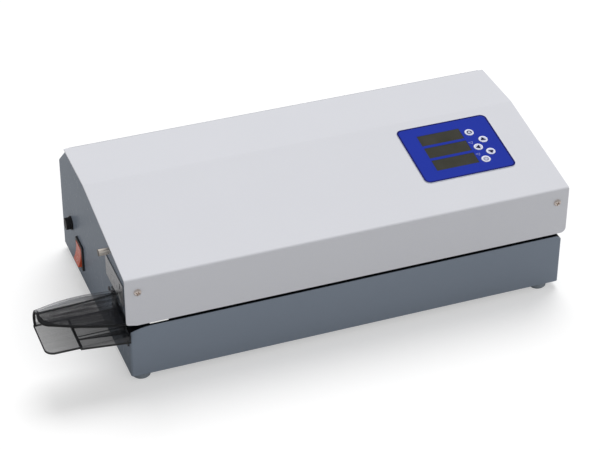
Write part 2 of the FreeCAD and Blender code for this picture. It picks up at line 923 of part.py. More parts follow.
def feet():
    """Four turned rubber feet, and the large screws that hold them and the cover."""
    side = S.cover_length / 2 - S.cover_screw_side
    screws = [screw("Y", -1, x, back(0), up(S.cover_screw_height)) for x in ends(side)]
    solids = []
    for x, y in foot_places():
        outer = rod("Z", x, y, as_size(0), S.foot_height, S.foot_radius)
        base = doc.addObject("Part::Cone", "Cone")
        bind(base, "Radius1", S.foot_base_radius)
        bind(base, "Radius2", S.foot_radius)
        bind(base, "Height", S.foot_radius - S.foot_base_radius)
        place(base, x, y, 0)
        skirt = without(outer, rod("Z", x, y, as_size(0), S.foot_radius - S.foot_base_radius,
                                   2 * S.foot_radius))
        recess = rod("Z", x, y, as_size(0), S.foot_recess_depth, S.foot_recess_radius)
        hole = rod("Z", x, y, as_size(0), S.foot_height, S.screw_radius + S.screw_hole_gap)
        solids.append(without(joined(skirt, base), recess, hole))
        screws.append(screw("Z", -1, x, y, S.foot_recess_depth))
    node("rubber_feet", group(*solids))
    node("large_screws", group(*screws))


def infeed_tray():
    """Lower half of the infeed guide: a tongue with a hollow box under it and a wall tab."""
    body = start_body("infeed_tray")
    end = along(-S.cover_length / 2 - S.guide_reach)
    wall_face = along(-S.wall_half - S.seat_gap)
    front = back(-S.guide_forward)
    top = S.tray_height
    under = top - S.guide_wall
    add(body, "XY", up(under), up(top),
        rectangle(end, wall_face, front, back(S.guide_back)))

    def tongue_corner(point, direction):
        return runs(direction, "Z") and near(point.x, end) and near(point.y, front)
    round_edges(body, S.tray_corner, tongue_corner)

    box_start = along(-S.cover_length / 2 - S.tray_box_start)
    add(body, "XZ", front, back(S.tray_box_width - S.guide_forward), outline(
        (box_start, up(under)), (wall_face, up(under)),
        (wall_face, up(under - S.tray_box_depth)),
        (box_start, up(under - S.tray_box_depth + S.tray_box_lift + S.guide_wall))))
    wall = S.guide_wall
    low = up(under - 2 * S.tray_box_depth)
    cell_end = along(-S.wall_half - S.seat_gap - wall)
    cut(body, "XY", low, up(under),
        rectangle(box_start + wall, cell_end, front + wall, back(S.tray_rib - S.guide_forward)),
        rectangle(box_start + wall, cell_end, back(S.tray_rib - S.guide_forward + wall),
                  back(S.tray_box_width - S.guide_forward - wall)))
    add(body, "YZ", along(-S.wall_half - S.seat_gap - wall), wall_face,
        rectangle(back(S.tab_front), back(S.tab_back), up(S.tab_bottom), up(under)))
    cut(body, "YZ", along(-S.wall_half - 2 * wall), along(-S.wall_half + wall),
        *[circle(y, z, S.small_screw_radius + S.window_gap) for y, z in tab_screws()[:2]])
    return body


def hood_curve(crown, inset):
    """The hood's rounded back and sloping roof at one crown height, that far inside."""
    floor = S.tray_height.value + S.seat_gap.value
    rear = S.guide_back.value
    depth = S.crown_depth.value
    lip = S.lip_height.value
    rise = crown - floor
    corners = [(rear - 3.0, floor), (rear, floor + 0.25 * rise),
               (rear - 2.6, floor + 0.64 * rise), (depth, crown),
               (depth * 0.5, (crown + lip) / 2 - 0.6), (0.0, lip)]
    curve = Part.BSplineCurve()
    curve.interpolate([Vector(0, y, z) for y, z in corners])
    if inset == 0:
        return curve
    moved = []
    for y, z in corners:
        parameter = curve.parameter(Vector(0, y, z))
        direction = curve.tangent(parameter)[0]
        moved.append(Vector(0, y - direction.z * inset, z + direction.y * inset))
    moved[0].z = floor
    inner = Part.BSplineCurve()
    inner.interpolate(moved)
    return inner


def hood_section(x, crown):
    """A closed section of the hood's wall at one X."""
    outer = hood_curve(crown, 0).toShape()
    inner = hood_curve(crown, S.guide_wall.value).toShape()
    foot = Part.LineSegment(inner.valueAt(inner.FirstParameter),
                            outer.valueAt(outer.FirstParameter)).toShape()
    lip = Part.LineSegment(outer.valueAt(outer.LastParameter),
                           inner.valueAt(inner.LastParameter)).toShape()
    wire = Part.Wire([outer, lip, inner, foot])
    wire.translate(Vector(x, S.front_y.value, S.foot_height.value))
    return wire


def infeed_hood():
    """Upper half of the infeed guide: a scoop lofted along the feed, with a slanted lip."""
    start = S.mid_x.value - S.cover_length.value / 2 - S.guide_reach.value
    wall_face = S.mid_x.value - S.wall_half.value - S.seat_gap.value
    finish = S.mid_x.value - S.wall_half.value - S.guide_seat.value
    knee = start + S.crown_length.value
    sections = [hood_section(start, S.crown_start.value),
                hood_section((start + knee) / 2, 0.25 * S.crown_start.value
                             + 0.75 * S.crown_top.value),
                hood_section(knee, S.crown_top.value),
                hood_section(finish, S.crown_end.value)]
    scoop = Part.makeLoft(sections, True, False)
    front = S.front_y.value
    behind = front + 2 * S.guide_back.value
    low = S.foot_height.value
    high = 2 * S.top_height.value
    lip_corners = [Vector(start - 1, behind, low), Vector(start - 1, front + S.lip_start_depth.value,
                   low), Vector(finish + 1, front, low), Vector(finish + 1, behind, low)]
    plan = Part.Face(Part.makePolygon(lip_corners + lip_corners[:1]))
    keep = plan.extrude(Vector(0, 0, high))
    corner = [edge for edge in keep.Edges
              if abs(edge.Vertexes[0].X - start + 1) < 0.01
              and abs(edge.Vertexes[1].X - start + 1) < 0.01
              and abs(edge.Vertexes[0].Y - front - S.lip_start_depth.value) < 0.01
              and abs(edge.Vertexes[1].Y - front - S.lip_start_depth.value) < 0.01]
    keep = keep.makeFillet(S.lip_corner.value, corner)
    scoop = scoop.common(keep)
    wall = S.guide_wall.value
    tab_low = S.tray_height.value + S.seat_gap.value
    tab = Part.makeBox(wall, S.tab_back.value - S.guide_back.value + wall,
                       S.tab_top.value - tab_low,
                       Vector(wall_face - wall, front + S.guide_back.value - wall, low + tab_low))
    y, z = tab_screws()[2]
    hole = Part.makeCylinder(S.small_screw_radius.value + S.window_gap.value, 3 * wall,
                             Vector(wall_face - 2 * wall, y.value, z.value), Vector(1, 0, 0))
    shaped("infeed_hood", scoop.fuse(tab).removeSplitter().cut(hole))


def small_screws():
    """The small pan-head screws of the infeed guide, the inlet and the chassis plate."""
    face = along(-S.wall_half - S.seat_gap - S.guide_wall)
    screws = [screw("X", -1, face, y, z, small=True) for y, z in tab_screws()]
    recess = S.small_head_height
    screws += [screw("Y", 1, x, back(S.body_depth + S.inlet_flange - recess),
                     up(S.inlet_height), small=True, length=S.screw_length - recess)
               for x in inlet_screws()]
    foot = S.sheet_wall + S.chassis_thickness
    screws += [screw("Z", 1, x, y, up(foot), small=True, length=foot)
               for x, y in chassis_foot_screws()]
    screws.append(screw("X", -1, along(-S.wall_half), back(S.chassis_back + S.tie_screw_back),
                        up(S.tie_screw_height), small=True,
                        length=S.sheet_wall + S.chassis_gap + S.chassis_thickness))
    node("small_screws", group(*screws))


def adjuster_plate():
    """Bright plate on the left wall with an upright slot in it."""
    face = along(-S.wall_half)
    plate = block(face - S.plate_thickness, face, back(S.plate_front),
                  back(S.plate_front + S.plate_length), up(S.plate_bottom),
                  up(S.plate_bottom + S.plate_width))
    half = (S.plate_slot_length - S.plate_slot_width) / 2
    low = up(S.plate_slot_height - half)
    middle = back(S.plate_slot_depth)
    width = S.plate_slot_width
    start = face - 2 * S.plate_thickness
    long = 4 * S.plate_thickness
    slot = joined(
        block(start, start + long, middle - width / 2, middle + width / 2, low, low + 2 * half),
        rod("X", start, middle, low, long, width / 2),
        rod("X", start, middle, low + 2 * half, long, width / 2))
    node("adjuster_plate", without(plate, slot))


def thumb_screw():
    """Knurled thumb-screw through the left wall, with its nut inside."""
    body = start_body("thumb_screw")
    length = S.thumb_length
    turn(body, "XY", "H_Axis", outline(
        (-length, 0), (-length, S.thumb_radius), (-S.thumb_collar, S.thumb_radius),
        (-S.thumb_collar, S.thumb_collar_radius), (0, S.thumb_collar_radius),
        (0, S.thumb_stud_radius), (S.thumb_stud_length, S.thumb_stud_radius),
        (S.thumb_stud_length, 0)))
    doc.recompute()
    depth = S.knurl_depth
    knurl = cut(body, "YZ", -length - depth, -S.thumb_collar - 2 * depth, rectangle(
        -S.knurl_width / 2, S.knurl_width / 2, S.thumb_radius - depth, S.thumb_radius + depth))
    pattern = body.newObject("PartDesign::PolarPattern", "Knurl")
    pattern.Originals = [knurl]
    axis = [item for item in body.Origin.OriginFeatures if item.Role == "X_Axis"][0]
    pattern.Axis = (axis, [""])
    pattern.Angle = 360
    bind(pattern, "Occurrences", S.knurl_count)
    body.Tip = pattern
    place(body, along(-S.wall_half - S.seat_gap), back(S.thumb_depth), up(S.thumb_height))
    nut = start_body("thumb_screw_nut")
    start = -S.wall_half + S.sheet_wall
    across = S.nut_width / 2
    corner = across / cosine(Size(30.0, "30"))
    points = [(Size(math.cos(k * math.pi / 3), f"cos({60 * k} * 1 deg)"),
               Size(math.sin(k * math.pi / 3), f"sin({60 * k} * 1 deg)")) for k in range(6)]
    add(nut, "YZ", along(start), along(start + S.nut_height),
        outline(*[(back(S.thumb_depth) + corner * c, up(S.thumb_height) + corner * s)
                  for c, s in points]),
        circle(back(S.thumb_depth), up(S.thumb_height), S.thumb_stud_radius + S.running_gap))


def rocker_switch():
    """Mains switch: rim and body in the left wall, and the rocker that tips in it."""
    frame = start_body("switch_frame")
    y, z = back(S.switch_depth), up(S.switch_height)
    face = -S.wall_half
    add(frame, "YZ", along(face - S.switch_rim), along(face),
        rectangle_about(y, z, S.switch_width, S.switch_tall))

    def rim(point, direction):
        return near(point.x, along(face - S.switch_rim))

    def rim_corner(point, direction):
        return runs(direction, "X")
    round_edges(frame, S.switch_rim_radius, rim_corner)
    round_edges(frame, S.switch_rim_radius / 2, rim)
    add(frame, "YZ", along(face), along(face + S.switch_body_depth),
        rectangle_about(y, z, S.switch_body_width, S.switch_body_tall))
    cut(frame, "YZ", along(face - 2 * S.switch_rim), along(face + S.switch_cavity),
        rectangle_about(y, z, S.rocker_width + 2 * S.rocker_gap,
                        S.rocker_tall + 2 * S.rocker_gap))

    rocker = start_body("switch_rocker")
    half = S.rocker_tall / 2
    rise = S.rocker_rise
    trim = S.rocker_gap
    add(rocker, "XZ", -S.rocker_width / 2, S.rocker_width / 2, outline(
        (-rise, -half + trim), (-rise + 2.2 * trim, -half / 2), (-rise + 3 * trim, 0),
        (-rise + 2.2 * trim, half / 2), (-rise, half - trim),
        (-rise / 2, half), (trim, half - trim), (S.rocker_depth - trim, half / 3),
        (S.rocker_depth - trim, -half / 3), (trim, -half + trim), (-rise / 2, -half)))
    rocker.Placement = Placement(Vector(), Rotation(Vector(0, 1, 0), S.rocker_tilt.value))
    bind(rocker, "Placement.Rotation.Angle", S.rocker_tilt)
    place(rocker, along(face), y, z)


def fuse_holder():
    """Panel fuse holder in the left wall, with its turning cap."""
    face = -S.wall_half
    holder = start_body("fuse_holder")
    gap = S.running_gap
    stem = S.fuse_cap_stem_radius + gap
    turn(holder, "XY", "H_Axis", outline(
        (-S.fuse_rim, stem), (-S.fuse_rim, S.fuse_rim_radius), (0, S.fuse_rim_radius),
        (0, S.fuse_body_radius), (S.fuse_body_length, S.fuse_body_radius),
        (S.fuse_body_length, 0), (S.fuse_cap_stem, 0), (S.fuse_cap_stem, stem)))
    place(holder, along(face), back(S.fuse_depth), up(S.fuse_height))

    cap = start_body("fuse_cap")
    front = -S.fuse_cap_length
    edge = S.fuse_rim / 2
    turn(cap, "XY", "H_Axis", outline(
        (front, 0), (front, S.fuse_cap_radius - edge), (front + edge, S.fuse_cap_radius),
        (-S.fuse_rim - gap, S.fuse_cap_radius), (-S.fuse_rim - gap, S.fuse_cap_stem_radius),
        (S.fuse_cap_stem - edge, S.fuse_cap_stem_radius), (S.fuse_cap_stem - edge, 0)))
    doc.recompute()
    cut(cap, "YZ", front - edge, front + edge, rectangle_about(
        as_size(0), as_size(0), edge, S.fuse_cap_radius * 1.2))
    place(cap, along(face), back(S.fuse_depth), up(S.fuse_height))


def mains_inlet():
    """Appliance inlet in the rear wall: flange, body with its cavity, and three pins."""
    inlet = start_body("mains_inlet")
    x, z = along(-S.inlet_side), up(S.inlet_height)
    rear = S.body_depth
    add(inlet, "XZ", back(rear), back(rear + S.inlet_flange),
        rectangle_about(x, z, S.inlet_flange_width, S.inlet_flange_tall))
    add(inlet, "XZ", back(rear - S.inlet_body_depth), back(rear),
        rectangle_about(x, z, S.inlet_body_width, S.inlet_body_tall))
    half = S.inlet_cavity_width / 2
    low = z - S.inlet_cavity_tall / 2
    high = z + S.inlet_cavity_tall / 2
    slant = S.earth_lift
    cut(inlet, "XZ", back(rear + S.inlet_flange - S.inlet_cavity_depth),
        back(rear + 2 * S.inlet_flange), outline(
            (x - half, low), (x + half, low), (x + half, high - slant), (x + half - slant, high),
            (x - half + slant, high), (x - half, high - slant)))
    cut(inlet, "XZ", back(rear - S.inlet_flange), back(rear + 2 * S.inlet_flange),
        *[circle(place_x, z, S.small_screw_radius + S.window_gap) for place_x in inlet_screws()])
    cut(inlet, "XZ", back(rear + S.inlet_flange - S.small_head_height),
        back(rear + 2 * S.inlet_flange),
        *[circle(place_x, z, S.small_head_radius + S.window_gap) for place_x in inlet_screws()])

    floor = back(rear + S.inlet_flange - S.inlet_cavity_depth)
    pins = []
    places = [(x - S.pin_side, z - S.pin_drop), (x, z + S.earth_lift - S.pin_drop),
              (x + S.pin_side, z - S.pin_drop)]
    for pin_x, pin_z in places:
        pins.append(block(pin_x - S.pin_width / 2, pin_x + S.pin_width / 2, floor,
                          floor + S.pin_length, pin_z - S.pin_tall / 2, pin_z + S.pin_tall / 2))
    node("inlet_pins", group(*pins))


def control_panel():
    """Blue film panel on the slope, its three windows and its five keys."""
    overlay = start_body("panel_overlay")
    thickness = S.panel_thickness
    add(overlay, "XY", as_size(0), thickness, rectangle_about(
        S.panel_side, S.panel_reach, S.panel_width, S.panel_tall))

    def corner(point, direction):
        return runs(direction, "Z")
    round_edges(overlay, S.panel_corner, corner)
    windows = [rectangle_about(S.display_side, reach, S.display_width, S.display_tall)
               for reach in display_rows()]
    holes = [circle(x, reach, S.key_radius + S.key_gap) for x, reach in key_places()]
    cut(overlay, "XY", -thickness, 2 * thickness, *(windows + holes))
    tilt(overlay)

    gap = S.window_gap
    panes = []
    for reach in display_rows():
        panes.append(block(
            S.display_side - S.display_width / 2 + gap, S.display_side + S.display_width / 2 - gap,
            reach - S.display_tall / 2 + gap, reach + S.display_tall / 2 - gap,
            as_size(0), thickness - S.window_drop))
    node("display_windows", tilt(group(*panes)))

    names = ["cycle_key", "up_key", "select_key", "down_key", "standby_key"]
    top = thickness + S.key_rise
    under = top - S.key_disc
    for name, (x, reach) in zip(names, key_places()):
        key = start_body(name)
        turn(key, "XZ", "V_Axis", outline(
            (0, under - S.key_stem), (S.key_stem_radius, under - S.key_stem),
            (S.key_stem_radius, under), (S.key_radius, under),
            (S.key_radius, top - S.key_disc / 3), (S.key_radius - S.key_disc / 3, top), (0, top)))
        key.Placement = Placement(Vector(), Rotation(Vector(1, 0, 0), S.slope_angle.value))
        bind(key, "Placement.Rotation.Angle", S.slope_angle)
        place(key, along(x), back(reach * cosine(S.slope_angle)),
              up(S.fold_height + reach * sine(S.slope_angle)))


def control_board():
    """Circuit board under the slope with its display modules, key switches and spacers."""
    x, reach = S.panel_side, S.panel_reach
    top = -S.board_drop
    board = block(x - S.board_width / 2, x + S.board_width / 2, reach - S.board_tall / 2,
                  reach + S.board_tall / 2, top - S.board_thickness, top)
    inset = 2 * S.cutout_margin
    modules = []
    for row in display_rows():
        modules.append(block(
            S.display_side - S.display_width / 2 + inset,
            S.display_side + S.display_width / 2 - inset,
            row - S.display_tall / 2 + inset, row + S.display_tall / 2 - inset,
            top, top + S.module_height))
    half = S.switch_side / 2
    plunger_top = (S.panel_thickness + S.key_rise - S.key_disc - S.key_stem
                   - S.key_travel - S.plunger_gap)
    switches = []
    for key_x, row in key_places():
        base = block(key_x - half, key_x + half, row - half, row + half, top,
                     top + S.switch_base)
        plunger = rod("Z", key_x, row, top, plunger_top - top, S.plunger_radius)
        switches.append(joined(base, plunger))
    spacers = [rod("Z", x + side, reach + rise, top, -top - S.sheet_wall, S.spacer_radius)
               for side in (-S.spacer_side, S.spacer_side)
               for rise in (-S.spacer_reach, S.spacer_reach)]
    node("control_board", tilt(group(board, *modules, *switches, *spacers)))


def chassis_foot_screws():
    """Places of the screws through the chassis plate's foot."""
    y = back(S.chassis_back + S.chassis_foot / 2)
    return [(along(step * S.foot_screw_spread), y) for step in (-1.5, -0.5, 0.5, 1.5)]


def chassis():
    """Upright chassis plate with a foot and two end flanges."""
    body = start_body("chassis_plate")
    half = S.wall_half - S.sheet_wall - S.chassis_gap
    front, rear = S.chassis_front, S.chassis_back
    floor = S.sheet_wall
    thickness = S.chassis_thickness
    add(body, "YZ", along(-half), along(half), outline(
        (back(front), up(floor)), (back(rear + S.chassis_foot), up(floor)),
        (back(rear + S.chassis_foot), up(floor + thickness)),
        (back(rear), up(floor + thickness)), (back(rear), up(S.chassis_top)),
        (back(front), up(S.chassis_top))))
    low = S.tie_screw_height - S.tie_flange_height / 2
    high = S.tie_screw_height + S.tie_flange_height / 2
    for start, end in ((-half, -half + thickness), (half - thickness, half)):
        add(body, "YZ", along(start), along(end), rectangle(
            back(front), back(rear + S.tie_flange_depth), up(low), up(high)))
    holes = [circle(along(S.pulley_side), up(z), S.bush_radius)
             for z in (S.lower_shaft, S.upper_shaft)]
    holes += [circle(along(-S.pulley_side), up(z), S.shaft_radius)
              for z in (S.lower_shaft, S.upper_shaft)]
    holes.append(circle(along(S.roller_side), up(S.lower_inside - S.roller_radius),
                        S.roller_pin_radius))
    holes.append(circle(along(S.arm_pivot_side), up(S.arm_pivot_height), S.shaft_radius))
    cut(body, "XZ", back(front - thickness), back(rear + thickness), *holes)
    cut(body, "XY", up(0), up(floor + 2 * thickness),
        *[circle(x, y, S.small_screw_radius) for x, y in chassis_foot_screws()])
    cut(body, "YZ", along(-half - thickness), along(-half + 2 * thickness),
        circle(back(rear + S.tie_screw_back), up(S.tie_screw_height), S.small_screw_radius))


def belt(name, height):
    """A flat belt loop round its two pulleys."""
    front, rear = back(S.belt_front), back(S.belt_front + S.belt_width)
    left, right = along(-S.pulley_side), along(S.pulley_side)
    inner = S.belt_inside
    outer = inner + S.belt_thickness

    def loop(radius, start, end):
        straight = block(left, right, start, end, up(height) - radius, up(height) + radius)
        return joined(straight, rod("Y", left, start, up(height), end - start, radius),
                      rod("Y", right, start, up(height), end - start, radius))
    node(name, without(loop(outer, front, rear),
                       loop(inner, front - S.belt_thickness, rear + S.belt_thickness)))


def pulley(name, side, height, bore):
    """A crowned flat-belt pulley."""
    body = start_body(name)
    half = S.pulley_width / 2
    edge = S.pulley_radius - S.pulley_crown
    turn(body, "XY", "V_Axis", outline(
        (bore, -half), (edge, -half), (S.pulley_radius, -half / 3), (S.pulley_radius, half / 3),
        (edge, half), (bore, half)))
    place(body, along(side), back(S.belt_front + S.belt_width / 2), up(height))


def involute(radius, base):
    """The involute's own angle at a radius, from where it leaves the base circle."""
    if radius <= base:
        return 0.0
    pressure = math.acos(base / radius)
    return math.tan(pressure) - pressure


def gear_shape(teeth, module, bore, width, first_tooth):
    """A spur gear about +Y with involute flanks and one tooth at the given angle from +X."""
    pitch = module * teeth / 2
    base = pitch * math.cos(math.radians(S.pressure_angle.value))
    tip = pitch + module
    foot = pitch - 1.25 * module
    half_tooth = (math.pi * module - S.gear_backlash.value) / 4 / pitch
    middle = half_tooth + involute(pitch, base)
    start = max(base, foot)

    def at(radius, angle):
        return Vector(radius * math.cos(angle), 0, radius * math.sin(angle))
    edges = []
    step = 2 * math.pi / teeth
    for number in range(teeth):
        centre = first_tooth + number * step
        radii = (start, (start + tip) / 2, tip)
        right = [at(r, centre - middle + involute(r, base)) for r in radii]
        left = [at(r, centre + middle - involute(r, base)) for r in radii]
        root_right = at(foot, centre - middle)
        root_left = at(foot, centre + middle)
        next_root = at(foot, centre + step - middle)
        edges.append(Part.LineSegment(root_right, right[0]))
        edges.append(Part.Arc(*right))
        edges.append(Part.Arc(right[2], at(tip, centre), left[2]))
        edges.append(Part.Arc(left[2], left[1], left[0]))
        edges.append(Part.LineSegment(left[0], root_left))
        edges.append(Part.Arc(root_left, at(foot, centre + step / 2), next_root))
    rim = Part.Wire([edge.toShape() for edge in edges])
    hole = Part.Wire([Part.makeCircle(bore, Vector(), Vector(0, 1, 0))])
    blank = Part.Face(rim).extrude(Vector(0, width, 0))
    return blank.cut(Part.Face(hole).extrude(Vector(0, width, 0)))


def gear(name, teeth, side, height, bore, first_tooth):
    """A spur gear on its shaft behind the chassis plate."""
    body = shaped(name, gear_shape(round(teeth.value), S.gear_module.value, bore.value,
                                   S.gear_width.value, math.radians(first_tooth)))
    place(body, along(side), back(S.gear_front), up(height))


def drive_train():
    """Belts, pulleys, shafts, bushes, gears and the motor that turns them."""
    belt("lower_belt", S.lower_shaft)
    belt("upper_belt", S.upper_shaft)
    front, length = back(S.shaft_front), S.shaft_back - S.shaft_front
    side = S.pulley_side
    bushes = []
    clips = []
    pins = []
    collar_start = S.belt_front + S.belt_width + S.pulley_crown + S.clip_thickness
    for level, height in (("lower", S.lower_shaft), ("upper", S.upper_shaft)):
        pulley(f"{level}_drive_pulley", side, height, S.shaft_radius)
        pulley(f"{level}_idler_pulley", -side, height, S.shaft_radius + S.running_gap)
        node(f"{level}_drive_shaft",
             rod("Y", along(side), front, up(height), length, S.shaft_radius))
        gear(f"{level}_drive_gear", S.gear_teeth, side, height, S.shaft_radius, 90.0)
        bore = S.shaft_radius + S.running_gap
        for start, flange_start in ((S.chassis_front, S.chassis_front - S.bush_flange),
                                    (S.motor_plate_front, S.motor_plate_front + S.motor_plate)):
            barrel = rod("Y", along(side), back(start), up(height),
                         S.chassis_thickness, S.bush_radius)
            flange = rod("Y", along(side), back(flange_start), up(height),
                         S.bush_flange, S.bush_flange_radius)
            bushes.append(without(joined(barrel, flange), rod(
                "Y", along(side), back(start - 2 * S.bush_flange), up(height),
                S.chassis_thickness + 4 * S.bush_flange, bore)))
        pin = rod("Y", along(-side), front, up(height), S.chassis_back - S.shaft_front,
                  S.shaft_radius)
        collar = rod("Y", along(-side), back(collar_start), up(height),
                     S.chassis_front - collar_start, S.clip_radius)
        pins.append(joined(pin, collar))
        ring = rod("Y", along(-side), front + S.clip_thickness / 2, up(height),
                   S.clip_thickness, S.clip_radius)
        clips.append(without(ring, rod("Y", along(-side), front, up(height),
                                       2 * S.clip_thickness, S.shaft_radius)))
    node("drive_bushes", group(*bushes))
    motor()
    return pins + clips


def motor():
    """Gear motor on its bearing plate, with four pillars and the pinion."""
    x, z = along(S.pinion_side), up(S.lower_shaft)
    plate_front = back(S.motor_plate_front)
    plate_back = plate_front + S.motor_plate
    left = S.pinion_side - S.motor_plate_margin
    right = S.pulley_side + S.motor_plate_margin
    low = S.lower_shaft - S.motor_plate_margin
    high = S.upper_shaft + S.motor_plate_rise
    plate = block(along(left), along(right), plate_front, plate_back, up(low), up(high))
    holes = [rod("Y", along(S.pulley_side), plate_front - S.motor_plate, up(height),
                 3 * S.motor_plate, S.bush_radius) for height in (S.lower_shaft, S.upper_shaft)]
    holes.append(rod("Y", x, plate_front - S.motor_plate, z, 3 * S.motor_plate,
                     S.motor_boss_radius))
    node("motor_plate", without(plate, *holes))
    inset = S.pillar_inset
    pillars = [rod("Y", along(px), back(S.chassis_back), up(pz),
                   S.motor_plate_front - S.chassis_back, S.pillar_radius)
               for px in (left + inset, right - inset) for pz in (low + inset, high - inset)]
    node("motor_pillars", group(*pillars))
    gap = S.running_gap
    boss = rod("Y", x, plate_back - S.motor_boss, z, S.motor_boss, S.motor_boss_radius)
    box = rod("Y", x, plate_back, z, S.gear_box_length, S.motor_radius)
    can = rod("Y", x, plate_back + S.gear_box_length, z, S.motor_length - S.gear_box_length,
              S.motor_radius - S.sheet_wall)
    bore = rod("Y", x, plate_back - S.motor_boss, z, 2 * S.motor_boss, S.motor_shaft_radius + gap)
    node("drive_motor", without(joined(boss, box, can), bore))
    shaft_start = back(S.gear_front) - S.clip_thickness
    node("motor_shaft", rod("Y", x, shaft_start, z, plate_back + S.motor_boss / 2 - shaft_start,
                            S.motor_shaft_radius))
    quarter = 360.0 / S.pinion_teeth.value / 4
    gear("motor_pinion", S.pinion_teeth, S.pinion_side, S.lower_shaft, S.motor_shaft_radius,
         -quarter)


def coil(x, y, bottom, top, radius, wire):
    """An open compression spring between two heights."""
    turns = S.spring_turns.value
    clear = S.spring_clear.value + wire.value
    height = top.value - bottom.value - 2 * clear
    helix = Part.makeHelix(height / turns, height, radius.value)
    circle_line = Part.makeCircle(wire.value, Vector(radius.value, 0, 0), Vector(0, 1, 0))
    swept = Part.Wire([helix]).makePipeShell([Part.Wire([circle_line])], True, True)
    swept.translate(Vector(x.value, y.value, bottom.value + clear))
    return swept


def heater_bars():
    """Fixed lower bar, sprung upper bar on its carrier, cartridges, guide rods and springs."""
    start, end = S.heater_start, S.heater_start + S.heater_length
    front = S.belt_front + (S.belt_width - S.heater_width) / 2
    rear = front + S.heater_width
    tall = S.heater_height
    post_half = S.heater_post_width / 2
    posts_at = [start + S.heater_inset, end - S.heater_inset]
    middle_y = back(front + S.heater_width / 2)

    def bar(low):
        return block(along(start), along(end), back(front), back(rear), up(low), up(low + tall))

    def cartridge(low):
        return rod("X", along(start - S.cartridge_out), middle_y, up(low + tall / 2),
                   S.heater_length + S.cartridge_out, S.cartridge_radius)

    def heater(name, low):
        node(name, group(without(bar(low), cartridge(low)), cartridge(low)))

    low = S.lower_inside - tall
    posts = [block(along(x - post_half), along(x + post_half), back(rear), back(S.chassis_front),
                   up(low), up(low + S.heater_post_height)) for x in posts_at]
    heater("lower_heater", low)

    low = S.upper_inside
    heater("upper_heater", low)
    top = S.carrier_top
    carrier_back = S.carrier_front + S.carrier_thickness
    plate = block(along(posts_at[0] - post_half), along(posts_at[1] + post_half),
                  back(S.carrier_front), back(carrier_back), up(low + tall - S.heater_post_height),
                  up(top))
    links = [block(along(x - post_half), along(x + post_half), back(rear), back(S.carrier_front),
                   up(low + tall - S.heater_post_height), up(low + tall)) for x in posts_at]
    lug_back = S.guide_rod_depth + (S.guide_rod_depth - carrier_back)
    lugs = [block(along(x - post_half), along(x + post_half), back(carrier_back), back(lug_back),
                  up(top - S.lug_height), up(top)) for x in posts_at]
    bores = [rod("Z", along(x), back(S.guide_rod_depth), up(top - 2 * S.lug_height),
                 3 * S.lug_height, S.guide_rod_radius + S.running_gap) for x in posts_at]
    node("heater_carrier", without(joined(plate, *links, *lugs), *bores))

    rod_low = top - 3 * S.lug_height
    bracket_low = S.rod_bracket_height
    bracket_front = 2 * S.guide_rod_depth - S.chassis_front
    brackets = [block(along(x - post_half), along(x + post_half), back(bracket_front),
                      back(S.chassis_front), up(bracket_low), up(bracket_low + S.lug_height))
                for x in posts_at]
    rods = [rod("Z", along(x), back(S.guide_rod_depth), up(rod_low), bracket_low - rod_low,
                S.guide_rod_radius) for x in posts_at]
    arm_x = S.roller_side - S.arm_tail / 2
    brackets.append(block(
        along(arm_x - S.arm_radius), along(arm_x + S.arm_radius),
        back(S.arm_front - S.clip_thickness), back(S.chassis_front),
        up(S.arm_spring_height), up(S.arm_spring_height + S.chassis_thickness)))
    node("spring_brackets", group(*posts, *brackets, *rods))
    springs = [coil(along(x), back(S.guide_rod_depth), up(top), up(bracket_low),
                    S.spring_radius, S.spring_wire) for x in posts_at]
    shaped("heater_springs", Part.makeCompound(springs))


def roller(level, height):
    """A pressure roller: metal core on a pin, with a silicone sleeve."""
    core = start_body(f"{level}_roller_core")
    half = S.belt_width / 2
    bore = S.roller_pin_radius + S.running_gap
    turn(core, "XY", "V_Axis", rectangle(bore, S.roller_core_radius, -half, half))
    place(core, along(S.roller_side), back(S.belt_front + half), up(height))
    sleeve = start_body(f"{level}_roller_sleeve")
    rim = S.roller_radius
    edge = S.belt_thickness / 2
    turn(sleeve, "XY", "V_Axis", outline(
        (S.roller_core_radius, -half), (rim - edge, -half), (rim, -half + edge),
        (rim, half - edge), (rim - edge, half), (S.roller_core_radius, half)))
    place(sleeve, along(S.roller_side), back(S.belt_front + half), up(height))


def roller_pin(height, pin_back, collar_back):
    """A pin with a collar behind the roller and a clip in front of it."""
    x = along(S.roller_side)
    collar_start = S.belt_front + S.belt_width + S.spring_clear
    pin = rod("Y", x, back(S.shaft_front), up(height), pin_back - S.shaft_front,
              S.roller_pin_radius)
    collar = rod("Y", x, back(collar_start), up(height), collar_back - collar_start,
                 S.clip_radius)
    head = rod("Y", x, back(S.shaft_front), up(height), 2 * S.clip_thickness, S.clip_radius)
    return joined(pin, collar, head)


